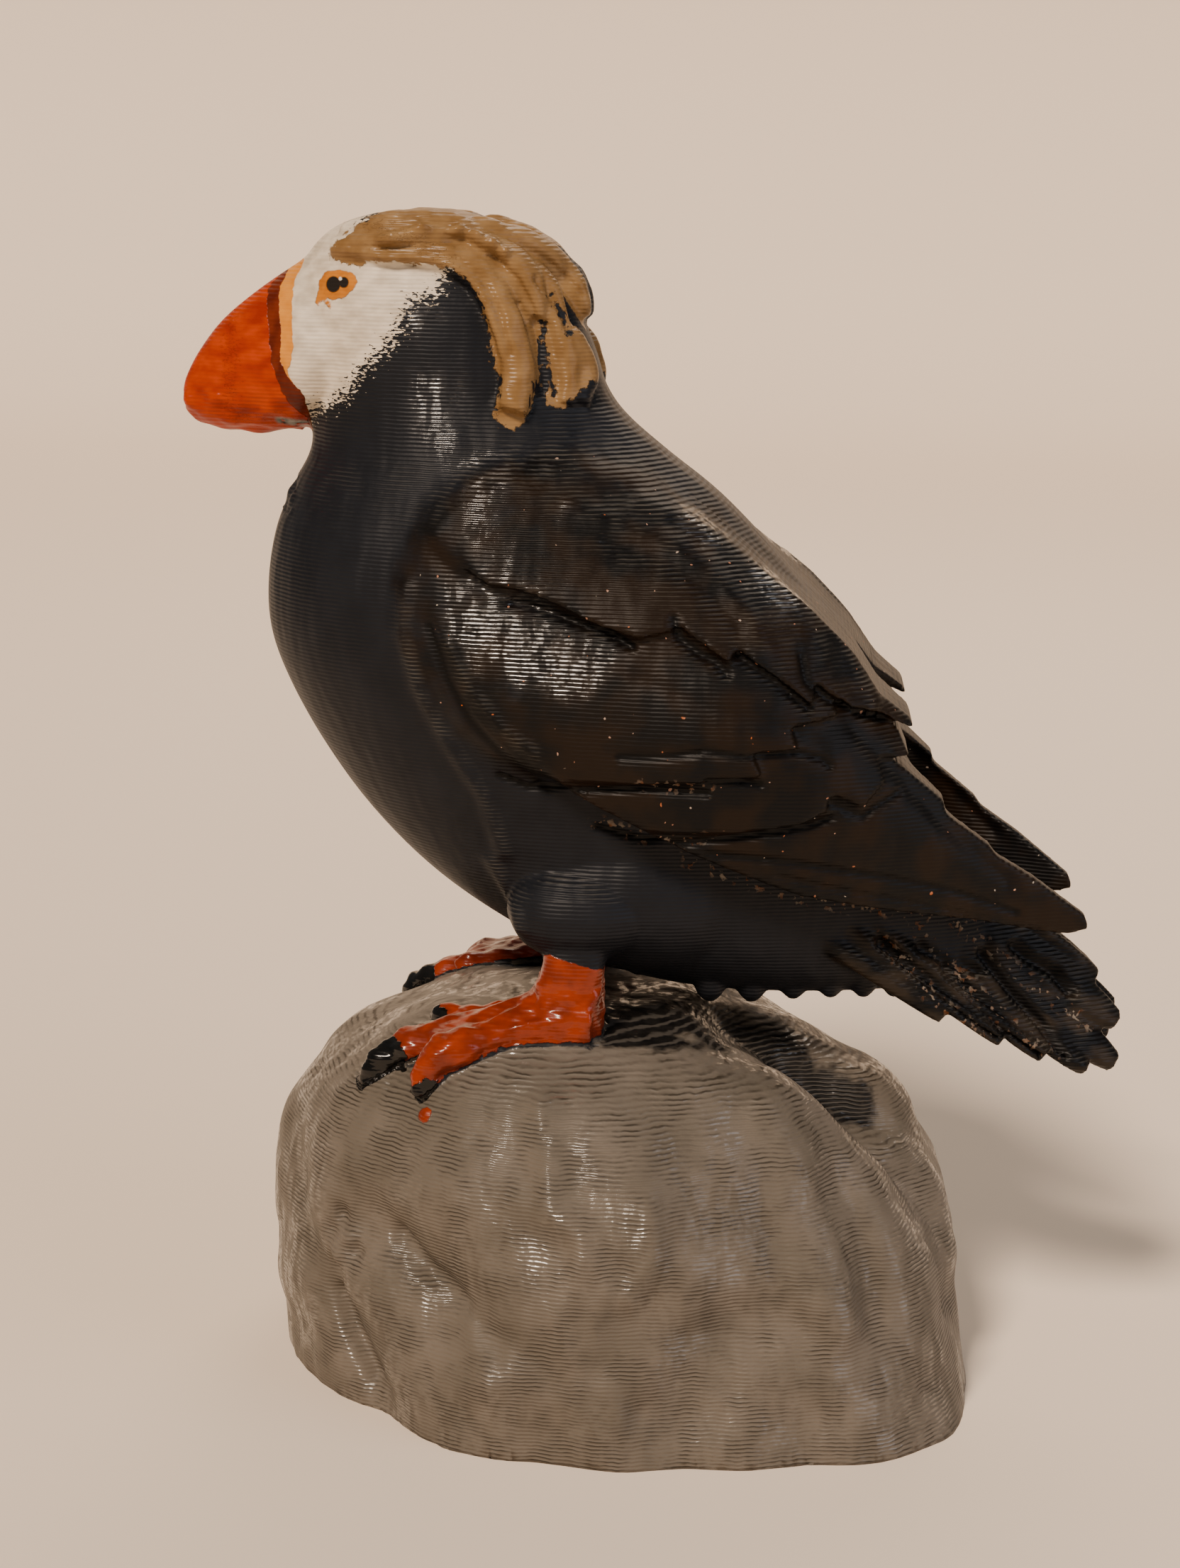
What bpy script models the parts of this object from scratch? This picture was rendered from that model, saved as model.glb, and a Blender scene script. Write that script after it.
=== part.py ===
"""Puffin ornament: a bird standing on a boulder, printed and painted as one piece.

The bird faces -X, its far side is +Y and the ground is Z = 0 under the boulder's centre.
The bird is drawn in squares on a side view: X towards the tail, Z up from the soles of
its feet, and the half width to either side. The boulder is drawn in squares of its own,
which its three sizes stretch. At the real size every square is one millimetre.
"""

import math

import bmesh
import bpy
import numpy as np
from mathutils import Vector
from mathutils.bvhtree import BVHTree

MM = 0.001

# Driving sizes: the bird from its soles to its crown, the boulder across its belly and
# over the ground, and the finest step of the print's skin
BIRD_HEIGHT = 72.1 * MM
ROCK_LENGTH = 64.4 * MM
ROCK_DEPTH = 57.0 * MM
ROCK_HEIGHT = 35.7 * MM
PRINT_GRAIN = 0.45 * MM

# Facets left on the finished solid
FACET_COUNT = 9700

PAINT_COLOUR = (0.020, 0.021, 0.027, 1.0)
PAINT_ROUGHNESS = 0.42

# Level sections of the body from crown to belly:
# front x, front z, back x, back z, half width, narrowing towards the back
BODY_SECTIONS = (
    (-18.8, 72.1, -16.4, 72.1, 1.2, 0.00),
    (-24.2, 71.4, -13.0, 71.3, 5.0, 0.00),
    (-27.6, 69.9, -10.2, 69.6, 6.9, 0.00),
    (-29.8, 67.2, -7.4, 66.8, 8.5, 0.00),
    (-30.7, 63.6, -5.0, 63.6, 9.6, 0.00),
    (-30.6, 59.6, -3.3, 59.6, 10.1, 0.00),
    (-29.8, 56.0, -2.3, 56.6, 10.3, 0.00),
    (-29.1, 53.2, -0.4, 54.0, 10.9, 0.00),
    (-29.2, 50.5, 3.4, 50.8, 12.3, 0.05),
    (-30.6, 47.6, 8.1, 47.2, 14.4, 0.10),
    (-32.3, 43.5, 12.6, 42.8, 16.6, 0.14),
    (-33.1, 38.5, 16.8, 38.2, 18.2, 0.18),
    (-32.8, 34.0, 19.8, 34.0, 19.0, 0.22),
    (-31.1, 29.4, 22.6, 29.0, 19.2, 0.26),
    (-28.0, 23.8, 25.6, 24.0, 18.6, 0.30),
    (-23.8, 18.0, 28.8, 18.6, 17.6, 0.34),
    (-18.6, 12.8, 31.8, 13.2, 16.9, 0.38),
    (-12.8, 8.6, 34.4, 8.8, 15.4, 0.42),
    (-5.8, 4.8, 36.0, 5.4, 12.8, 0.44),
    (1.0, 2.6, 35.0, 3.2, 9.4, 0.42),
    (7.0, 2.0, 30.0, 2.4, 6.2, 0.36),
    (14.0, 2.0, 24.0, 2.2, 1.6, 0.30),
)
BACK_FULLNESS = 0.72

# Feathered thighs over the legs: centre x, y, z and half sizes
THIGH_CENTRE = (0.8, 6.0, 12.6)
THIGH_REACH = (13.0, 9.2, 8.3)

# Upright sections of the beak from the face to the tip: x, top z, bottom z, half width
BEAK_SECTIONS = (
    (-25.0, 67.6, 54.0, 7.4),
    (-28.8, 68.0, 52.6, 7.2),
    (-30.4, 67.1, 52.2, 6.4),
    (-33.8, 64.8, 51.8, 5.0),
    (-37.2, 62.0, 52.0, 3.6),
    (-39.4, 59.2, 52.6, 2.4),
    (-40.6, 57.0, 53.3, 1.4),
    (-41.0, 55.8, 54.2, 0.4),
)

# Locks of the tuft on one side, along the head: x, z and half width
TUFT_LOCKS = (
    ((-26.0, 68.6, 1.0), (-22.5, 68.6, 1.5), (-18.5, 68.7, 1.6), (-15.2, 67.6, 1.5),
     (-12.8, 65.8, 1.4), (-11.2, 63.4, 1.4), (-10.1, 60.6, 1.4), (-9.4, 57.6, 1.4),
     (-9.9, 54.9, 1.4)),
    ((-25.2, 69.9, 1.0), (-21.0, 70.2, 1.6), (-16.5, 70.0, 1.7), (-13.0, 68.6, 1.7),
     (-10.4, 66.8, 1.8), (-8.8, 64.8, 1.5), (-8.1, 62.8, 0.9)),
    ((-10.4, 68.0, 1.2), (-7.8, 65.6, 1.2), (-6.5, 62.8, 1.1), (-5.7, 60.0, 1.1),
     (-5.3, 57.6, 1.0), (-5.5, 55.6, 0.8)),
    ((-14.0, 70.2, 1.4), (-9.8, 68.6, 1.7), (-7.0, 66.4, 1.8), (-5.2, 64.4, 1.6),
     (-4.3, 62.9, 0.9)),
    ((-6.6, 62.6, 0.8), (-4.7, 60.2, 1.1), (-3.9, 57.8, 1.1), (-4.2, 55.6, 0.9)),
    ((-9.4, 70.6, 0.9), (-5.6, 68.4, 1.1), (-3.3, 66.2, 0.9), (-2.2, 63.9, 0.7)),
)
LOCK_RISE = 0.55

# Side outlines of the folded wing's layers, from the tip feathers up to the shoulder,
# with the height of each layer over the flank in front and behind
PRIMARIES = (
    (-4.0, 23.0), (5.8, 18.2), (10.5, 16.2), (16.3, 13.9), (23.7, 12.3), (32.3, 10.8),
    (38.2, 9.5), (40.9, 9.2), (42.5, 9.7), (42.1, 10.9), (37.2, 14.6), (33.7, 16.8),
    (33.1, 17.7), (29.1, 20.7), (28.8, 21.9), (25.2, 25.0), (16.0, 31.6), (4.0, 33.0),
)
SECONDARIES = (
    (-6.0, 24.5), (-1.0, 21.6), (3.0, 19.8), (10.4, 19.9), (16.1, 20.7), (18.5, 22.0),
    (18.8, 23.6), (21.6, 22.2), (23.4, 24.2), (22.6, 26.4), (25.6, 26.0), (24.6, 28.2),
    (21.0, 31.5), (13.0, 33.5), (2.0, 33.0),
)
COVERTS = (
    (-17.4, 43.6), (-18.5, 40.4), (-18.2, 37.4), (-17.0, 33.4), (-15.0, 29.7), (-12.3, 26.9),
    (-8.8, 24.7), (-5.4, 24.0), (1.7, 24.2), (8.3, 24.7), (12.8, 25.3), (11.8, 27.2),
    (15.8, 27.4), (15.2, 29.4), (19.2, 30.2), (17.6, 33.2), (9.0, 38.0), (-4.0, 41.5),
    (-12.0, 43.6),
)
SCAPULARS = (
    (-16.6, 44.8), (-13.7, 42.4), (-11.0, 40.7), (-8.7, 40.5), (-6.3, 39.8), (-3.8, 38.8),
    (-1.4, 37.6), (2.0, 36.8), (5.8, 37.6), (9.8, 34.8), (10.2, 36.0), (12.8, 34.2),
    (16.9, 31.2), (17.2, 33.0), (20.4, 30.6), (22.4, 30.2), (26.0, 28.2), (25.6, 29.2),
    (22.8, 31.4), (20.4, 34.8), (16.8, 38.4), (10.6, 43.6), (6.0, 46.8), (0.6, 50.6),
    (-6.0, 51.4), (-13.0, 48.0),
)
WING_LAYERS = (
    (PRIMARIES, -0.2, 0.3),
    (SECONDARIES, 0.3, 1.2),
    (COVERTS, 1.0, 2.2),
    (SCAPULARS, 2.0, 3.0),
)
SHOULDER = (-18.0, 39.5)
WING_TIP = (42.0, 10.0)
WING_THICKNESS = (3.4, 1.7)

# Distance that is well outside the bird, for looking at its side
OUTSIDE = 2 * WING_TIP[0]

# Half width of the wing along its length, and how far it reaches up to the back
WING_STATIONS = (-0.1, 0.0, 0.15, 0.28, 0.48, 0.585, 0.67, 0.75, 0.85, 1.0)
WING_WIDTHS = (17.4, 18.2, 19.6, 20.2, 19.4, 18.2, 16.4, 14.2, 11.4, 8.2)
WING_RISES = (16.0, 16.5, 18.5, 20.0, 17.0, 13.6, 11.5, 8.6, 7.6, 6.5)
WING_DROP = 27.0

# How fast the wing's surface closes in past the outline of the back, across per length
WING_PARTING = 2.5

# Shares of the wing's length between which the two wings part, and their overlap before
WING_PARTS = (0.52, 0.80)
WING_OVERLAP = 0.5

# Tail feathers of one side: root x, y, z, tip x, y, z, half breadth, and how steeply
# the flat of the feather leans outwards, in degrees
TAIL_FEATHERS = (
    (24.0, 0.4, 17.0, 44.2, 0.5, 2.8, 2.2, 40.0),
    (24.0, 2.2, 15.4, 46.2, 2.4, -0.7, 2.1, 50.0),
    (24.0, 4.2, 12.8, 46.0, 4.3, -4.1, 2.0, 54.0),
    (24.0, 6.2, 10.0, 43.2, 6.2, -4.2, 1.3, 40.0),
    (23.0, 7.6, 9.4, 39.2, 7.8, -2.6, 1.6, 10.0),
    (21.0, 8.6, 9.0, 35.3, 9.2, -0.8, 1.6, 4.0),
    (18.0, 9.0, 8.6, 29.8, 9.6, 1.4, 1.5, 0.0),
)
TAIL_KEEL = (20.0, 0.0, 10.5, 43.0, 0.0, -1.8, 4.6, 0.0)
FEATHER_THICKNESS = 0.95

# Drops of paint and print left hanging along the belly behind the legs: x, y, z, radius
BELLY_SCARS = (
    (8.6, -7.6, 2.4, 1.3), (12.4, -7.2, 2.3, 1.2), (16.2, -6.8, 2.5, 1.1),
    (19.6, -6.6, 2.6, 1.0), (22.6, -6.4, 2.7, 1.0), (25.4, -6.6, 2.8, 0.9),
)

# One leg and foot seen from above: ankle and the three toes, x and y
LEG_TOP = (-3.2, 12.6, 9.4)
ANKLE = (-4.0, 13.3, 2.4)
LEG_HALF_LENGTHS = (3.0, 2.8, 3.3)
LEG_HALF_WIDTHS = (2.8, 2.6, 3.0)
HEEL = ((-1.6, 10.6), (-1.4, 13.4), (-1.8, 16.6))
TOES = (
    ((-13.8, 10.8), (-16.8, 9.8)),
    ((-18.4, 13.4), (-22.4, 14.3)),
    ((-14.6, 17.8), (-16.8, 19.2)),
)
TOE_RADIUS = 1.9
TOE_SINK = 1.5
CLAW_RADIUS = 1.4
CLAW_RISE = 0.4

# Top of the foot over the soles, from the claws to the heel, its fall towards both sides
# and the least thickness of its web
FOOT_STATIONS = (-22.0, -19.0, -14.6, -8.0, -4.0)
FOOT_LEVELS = (-2.8, -1.2, 0.7, 1.8, 2.8)
FOOT_CROWN = 0.03
WEB_THICKNESS = 0.9

# The boulder seen from above, anticlockwise from the tail side: angle in degrees, reach
# at the ground, reach at its belly, and how square its shoulder is above the belly
ROCK_PLAN = (
    (0.0, 34.0, 31.8, 1.8), (30.0, 32.4, 30.6, 1.9), (60.0, 29.6, 30.0, 2.3),
    (90.0, 28.0, 29.0, 2.6), (120.0, 29.0, 30.6, 2.6), (150.0, 31.0, 32.4, 2.7),
    (180.0, 31.8, 32.6, 2.8), (195.0, 29.8, 31.6, 3.0), (210.0, 28.4, 30.6, 3.2),
    (225.0, 27.6, 29.4, 3.3), (243.0, 29.0, 28.8, 3.2), (262.0, 27.7, 28.0, 3.1),
    (285.0, 29.2, 28.4, 2.7), (303.0, 32.0, 29.6, 2.2), (314.0, 36.2, 32.6, 1.9),
    (327.0, 37.8, 34.0, 1.7), (341.0, 35.6, 32.8, 1.7), (360.0, 34.0, 31.8, 1.8),
)
ROCK_TOP = 35.7
ROCK_BELLY_HEIGHT = 12.0
ROCK_ROOT_DEPTH = 3.0

# Swellings and hollows of the boulder: x, y, z, radius, height (below zero: hollow)
ROCK_SWELLINGS = (
    (-24.0, -19.0, 18.0, 8.0, 0.9), (-31.0, -2.0, 20.0, 8.0, 0.8), (-6.0, -28.0, 6.0, 9.0, 1.5),
    (3.0, -27.0, 20.0, 9.0, 1.5), (20.0, -26.0, 8.0, 8.0, 1.2), (15.0, -17.0, 29.0, 7.0, 1.7),
    (-8.0, -19.0, 31.0, 8.0, 0.8), (35.5, -14.0, 6.0, 7.0, 1.1), (24.0, 3.0, 27.0, 6.0, 2.0),
    (31.0, 6.0, 18.0, 4.5, 0.9), (-9.0, 28.0, 14.0, 11.0, 1.8), (19.0, 25.0, 12.0, 10.0, 1.7),
    (-27.0, 16.0, 12.0, 10.0, 1.5), (2.0, 20.0, 30.0, 8.0, 1.2), (30.0, 13.0, 7.0, 8.0, 1.2),
    (-28.5, -11.0, 19.0, 2.6, -1.4), (-27.0, -14.0, 14.0, 2.4, -1.1), (20.0, -6.0, 32.0, 4.5, -2.2),
    (26.0, -8.0, 26.0, 4.0, -1.5), (10.0, -28.0, 12.0, 4.0, -1.1),
)

# Creases across the boulder: start x, y, z, end x, y, z, half width, depth
ROCK_CREASES = (
    (-21.0, -21.0, 19.0, -11.0, -27.0, 12.0, 2.0, 2.2),
    (-25.0, -17.0, 11.0, -21.0, -20.0, 3.0, 1.5, 1.8),
    (13.0, -4.0, 35.0, 28.0, -9.0, 24.0, 2.4, 2.2),
    (28.0, -9.0, 24.0, 33.0, -9.0, 10.0, 1.7, 1.4),
    (7.0, -26.0, 28.0, 13.0, -27.0, 14.0, 2.4, 0.9),
    (20.0, -21.0, 23.0, 26.0, -24.0, 10.0, 1.9, 1.4),
    (-12.0, 24.0, 26.0, -16.0, 26.0, 4.0, 2.2, 1.6),
    (6.0, 26.0, 26.0, 9.0, 27.0, 3.0, 2.0, 1.5),
    (24.0, 17.0, 22.0, 27.0, 19.0, 3.0, 2.2, 1.4),
)

# Size of a square on the two drawings, from the crown's height and from the reaches of
# the boulder's belly ahead, behind and to both sides
BIRD_SQUARE = BIRD_HEIGHT / BODY_SECTIONS[0][1]
ROCK_SCALE = (
    ROCK_LENGTH / (ROCK_PLAN[0][2] + ROCK_PLAN[6][2]),
    ROCK_DEPTH / (ROCK_PLAN[3][2] + ROCK_PLAN[11][2]),
    ROCK_HEIGHT / ROCK_TOP,
)


def clear_scene():
    """Remove what a new file holds."""
    for thing in list(bpy.data.objects):
        bpy.data.objects.remove(thing, do_unlink=True)


def smooth_rows(rows, count):
    """Rows of numbers read off a smooth curve through the given rows."""
    table = np.array(rows, dtype=float)
    places = np.linspace(0.0, len(table) - 1.0, count)
    out = []
    for place in places:
        k = min(int(place), len(table) - 2)
        t = place - k
        before = table[max(k - 1, 0)]
        after = table[min(k + 2, len(table) - 1)]
        a = table[k]
        b = table[k + 1]
        out.append(0.5 * (2 * a + (b - before) * t
                          + (2 * before - 5 * a + 4 * b - after) * t ** 2
                          + (3 * a - before - 3 * b + after) * t ** 3))
    return np.array(out)


def skin_rings(rings):
    """Closed form through rings of equal length, with a point at either end."""
    count = len(rings[0])
    points = [tuple(point) for ring in rings for point in ring]
    faces = []
    for k in range(len(rings) - 1):
        for i in range(count):
            j = (i + 1) % count
            faces.append((k * count + i, k * count + j, (k + 1) * count + j, (k + 1) * count + i))
    for ring, turned in ((0, True), (len(rings) - 1, False)):
        points.append(tuple(np.mean(rings[ring], axis=0)))
        for i in range(count):
            j = (i + 1) % count
            a = ring * count + i
            b = ring * count + j
            faces.append((b, a, len(points) - 1) if turned else (a, b, len(points) - 1))
    return outward(np.array(points), faces)


def outward(points, faces):
    """The form with its faces turned outwards, told by the sign of its volume."""
    volume = 0.0
    for face in faces:
        a = points[face[0]]
        for k in range(1, len(face) - 1):
            volume += np.dot(a, np.cross(points[face[k]], points[face[k + 1]]))
    if volume < 0.0:
        faces = [tuple(reversed(face)) for face in faces]
    return points, faces


def mirrored(form):
    """The same form on the far side of the bird."""
    points, faces = form
    return points * np.array([1.0, -1.0, 1.0]), [tuple(reversed(face)) for face in faces]


def tree_of(form):
    """Search tree of a form, for casting rays at it."""
    points, faces = form
    return BVHTree.FromPolygons([Vector(point) for point in points], faces)


def rounded_section(sides, squareness):
    """Unit section as cosines and sines, from round (2) to nearly square (6)."""
    angles = np.linspace(0.0, 2 * math.pi, sides, endpoint=False)
    power = 2.0 / squareness
    across = np.sign(np.cos(angles)) * np.abs(np.cos(angles)) ** power
    along = np.sign(np.sin(angles)) * np.abs(np.sin(angles)) ** power
    return across, along


def tube(rows, sides=12, breadth_axis=None, squareness=2.0, count=None):
    """Sweep a section along rows of x, y, z, half breadth, half thickness."""
    rows = smooth_rows(rows, count or 4 * len(rows))
    across, along = rounded_section(sides, squareness)
    rings = []
    for k, row in enumerate(rows):
        ahead = rows[min(k + 1, len(rows) - 1)][:3] - rows[max(k - 1, 0)][:3]
        ahead = Vector(ahead).normalized()
        wide = Vector(breadth_axis or (0.0, 1.0, 0.0))
        wide = (wide - ahead * wide.dot(ahead)).normalized()
        thick = ahead.cross(wide)
        ring = [Vector(row[:3]) + wide * (a * row[3]) + thick * (b * row[4])
                for a, b in zip(across, along)]
        rings.append([tuple(point) for point in ring])
    return skin_rings([np.array(ring) for ring in rings])


def make_body():
    """Head, neck, breast and rump as one form of level sections."""
    around = np.linspace(0.0, 2 * math.pi, 56, endpoint=False)
    rings = []
    for front_x, front_z, back_x, back_z, wide, taper in smooth_rows(BODY_SECTIONS, 96):
        share = 0.5 - 0.5 * np.cos(around)
        x = front_x + (back_x - front_x) * share
        z = front_z + (back_z - front_z) * share
        fullness = np.where(share > 0.5, BACK_FULLNESS + (1.0 - BACK_FULLNESS) * (2 - 2 * share), 1.0)
        bow = np.sign(np.sin(around)) * np.abs(np.sin(around)) ** fullness
        y = wide * bow * (1.0 - taper * share)
        rings.append(np.stack([x, y, z], axis=1))
    return skin_rings(rings)


def make_beak():
    """Deep, narrow beak, sharper along its ridge than at its sides."""
    around = np.linspace(0.0, 2 * math.pi, 28, endpoint=False)
    rings = []
    for x, top, bottom, wide in smooth_rows(BEAK_SECTIONS, 30):
        z = 0.5 * (top + bottom) + 0.5 * (top - bottom) * np.cos(around)
        y = wide * np.sin(around) * (1.0 - 0.18 * np.cos(around))
        rings.append(np.stack([np.full(len(around), x), y, z], axis=1))
    return skin_rings(rings)


def near_side(tree, x, z):
    """Point of the near (-Y) side of a form at x and z."""
    hit = tree.ray_cast(Vector((x, -OUTSIDE, z)), Vector((0.0, 1.0, 0.0)))[0]
    if hit is None:
        hit = tree.find_nearest(Vector((x, -1.0, z)))[0]
    return hit


def make_lock(rows, head):
    """One lock of the tuft, half sunk in the head."""
    swept = []
    for x, z, wide in rows:
        place, normal = head.find_nearest(near_side(head, x, z))[:2]
        place = place + normal * (LOCK_RISE * wide - 0.3)
        swept.append((place.x, place.y, place.z, wide, 0.8 * wide))
    start = np.array(swept[0])
    end = np.array(swept[-1])
    swept.insert(0, tuple(start * (1, 1, 1, 0.3, 0.3)))
    swept.append(tuple(end * (1, 1, 1, 0.5, 0.5)))
    middle = swept[len(swept) // 2]
    outward_axis = head.find_nearest(Vector(middle[:3]))[1]
    ahead = Vector(np.array(swept[-1][:3]) - np.array(swept[0][:3])).normalized()
    return tube(swept, sides=12, breadth_axis=tuple(ahead.cross(outward_axis)))


def smooth_step(value, low, high):
    """Soft step from 0 at low to 1 at high."""
    share = min(max((value - low) / (high - low), 0.0), 1.0)
    return share * share * (3.0 - 2.0 * share)


def wing_place(x, z):
    """Share of the wing's length and rise over its axis, at x and z."""
    axis = Vector((WING_TIP[0] - SHOULDER[0], WING_TIP[1] - SHOULDER[1]))
    out = Vector((x - SHOULDER[0], z - SHOULDER[1]))
    rise = (out.y * axis.x - out.x * axis.y) / axis.length
    return out.dot(axis) / axis.length_squared, rise


def wing_width(x, z):
    """Half width of the folded wing's smooth surface at x and z."""
    share, rise = wing_place(x, z)
    width = np.interp(share, WING_STATIONS, WING_WIDTHS)
    reach = np.interp(share, WING_STATIONS, WING_RISES) if rise > 0 else WING_DROP
    return float(width * math.sqrt(max(0.14, 1.0 - (rise / reach) ** 2)))


def make_layer(outline, front_lift, back_lift, body):
    """One layer of the wing: its outline cut from a sheet that hugs the flank."""
    bm = bmesh.new()
    bm.faces.new([bm.verts.new((x, 0.0, z)) for x, z in outline])
    xs = [x for x, _ in outline]
    zs = [z for _, z in outline]
    pitch = 1.6
    for axis, low, high in (((1, 0, 0), min(xs), max(xs)), ((0, 0, 1), min(zs), max(zs))):
        for place in np.arange(low + 0.5 * pitch, high, pitch):
            bmesh.ops.bisect_plane(
                bm, geom=bm.verts[:] + bm.edges[:] + bm.faces[:],
                plane_co=Vector(axis) * float(place), plane_no=axis)
    bmesh.ops.triangulate(bm, faces=bm.faces)
    bm.verts.index_update()
    outer = []
    inner = []
    for vert in bm.verts:
        x, _, z = vert.co
        share = wing_place(x, z)[0]
        hit = body.ray_cast(Vector((x, -OUTSIDE, z)), Vector((0.0, 1.0, 0.0)))[0]
        if hit:
            flank = -hit.y
        else:
            flank = -WING_PARTING * body.find_nearest(Vector((x, 0.0, z)))[3]
        lift = front_lift + (back_lift - front_lift) * min(max(share, 0.0), 1.0) ** 0.8
        apart = smooth_step(share, 0.05, 0.45)
        width = flank + apart * (max(flank, wing_width(x, z)) - flank) + lift
        thick = np.interp(share, (0.3, 1.0), WING_THICKNESS)
        root = (width - thick + WING_OVERLAP) * smooth_step(share, *WING_PARTS) - WING_OVERLAP
        outer.append((x, -width, z))
        inner.append((x, -root, z))
    count = len(outer)
    faces = [tuple(vert.index for vert in face.verts) for face in bm.faces]
    walls = [tuple(vert.index for vert in edge.verts) for edge in bm.edges if edge.is_boundary]
    sided = {}
    for face in faces:
        for k, vert in enumerate(face):
            sided[(vert, face[(k + 1) % len(face)])] = True
    closed = list(faces) + [tuple(v + count for v in reversed(face)) for face in faces]
    for a, b in walls:
        if (a, b) not in sided:
            a, b = b, a
        closed.append((b, a, a + count, b + count))
    bm.free()
    return outward(np.array(outer + inner), closed)


def make_tail_feather(root_x, root_y, root_z, tip_x, tip_y, tip_z, half_breadth, lean):
    """Flat feather of the near side's tail, blunt at its tip."""
    root = np.array([root_x, -root_y, root_z])
    tip = np.array([tip_x, -tip_y, tip_z])
    rows = []
    for share, breadth in ((0.0, 0.8), (0.35, 1.0), (0.7, 1.0), (0.9, 0.85), (1.0, 0.45)):
        place = root + (tip - root) * share
        rows.append((*place, half_breadth * breadth, FEATHER_THICKNESS * (1.0 - 0.25 * share)))
    lean = math.radians(lean)
    flat = (0.0, -math.cos(lean), -math.sin(lean))
    return tube(rows, sides=12, breadth_axis=flat, squareness=3.4, count=16)


def make_drop(x, y, z, radius):
    """Small drop hanging under the belly."""
    rows = [(x, y, z + 2 * radius, 0.6 * radius, 0.6 * radius),
            (x, y, z + radius, 1.1 * radius, 1.1 * radius),
            (x, y, z, radius, radius),
            (x, y, z - 0.7 * radius, 0.35 * radius, 0.35 * radius)]
    return tube(rows, sides=10, breadth_axis=(0.0, 1.0, 0.0))


def make_leg():
    """Short leg from the belly to the heel, nearly square where it meets the foot."""
    middle = 0.5 * (LEG_TOP[2] + ANKLE[2])
    rows = []
    for k, (x, y, z) in enumerate((LEG_TOP, (ANKLE[0] + 0.5, ANKLE[1], middle), ANKLE)):
        rows.append((x, -y, z, LEG_HALF_WIDTHS[k], LEG_HALF_LENGTHS[k]))
    rows.append((ANKLE[0], -ANKLE[1], -1.4, LEG_HALF_WIDTHS[2], LEG_HALF_LENGTHS[2]))
    return tube(rows, sides=16, breadth_axis=(0.0, 1.0, 0.0), squareness=3.4)


def make_foot(stone_level):
    """Webbed foot of the near side, each toe laid on the stone and ending in a claw."""
    forms = [make_leg()]
    ankle = np.array([ANKLE[0] - 1.0, -ANKLE[1], 1.6])
    claw_rise = np.array([0.0, 0.0, CLAW_RISE])
    for (base_x, base_y), (tip_x, tip_y) in TOES:
        base = np.array([base_x, -base_y, foot_level(base_x, -base_y, stone_level) - TOE_SINK])
        tip = np.array([tip_x, -tip_y, stone_level(tip_x, -tip_y) + 0.4])
        middle = 0.5 * (ankle + base)
        middle[2] = foot_level(middle[0], middle[1], stone_level) - TOE_SINK
        rows = [(*ankle, TOE_RADIUS * 1.3, TOE_RADIUS * 1.3),
                (*middle, TOE_RADIUS * 1.1, TOE_RADIUS),
                (*base, TOE_RADIUS, TOE_RADIUS),
                (*(base + 0.25 * (tip - base)), TOE_RADIUS * 0.6, TOE_RADIUS * 0.6)]
        forms.append(tube(rows, sides=12))
        rows = [(*(base - 0.2 * (tip - base)), CLAW_RADIUS * 0.8, CLAW_RADIUS * 0.8),
                (*(base + 0.2 * (tip - base) + claw_rise), CLAW_RADIUS, CLAW_RADIUS * 1.1),
                (*(base + 0.65 * (tip - base) + claw_rise), CLAW_RADIUS * 0.8, CLAW_RADIUS),
                (*tip, CLAW_RADIUS * 0.4, CLAW_RADIUS * 0.5)]
        forms.append(tube(rows, sides=10))
    forms.append(make_web(stone_level))
    return forms


def make_thigh():
    """Rounded thigh of the near side, which the leg comes out of."""
    rows = []
    for turn in np.linspace(-0.96, 0.96, 9):
        share = math.sin(0.5 * math.pi * turn)
        girth = math.sqrt(1.0 - share * share)
        rows.append((THIGH_CENTRE[0] + THIGH_REACH[0] * share, -THIGH_CENTRE[1],
                     THIGH_CENTRE[2] - 0.22 * THIGH_REACH[0] * share,
                     THIGH_REACH[1] * girth, THIGH_REACH[2] * girth))
    return tube(rows, sides=24, count=24)


def foot_level(x, y, stone_level):
    """Height of the foot's top at x and y: nearly level while the stone falls away."""
    level = np.interp(x, FOOT_STATIONS, FOOT_LEVELS) - FOOT_CROWN * (abs(y) - ANKLE[1]) ** 2
    return max(float(level), stone_level(x, y) + WEB_THICKNESS)


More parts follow.
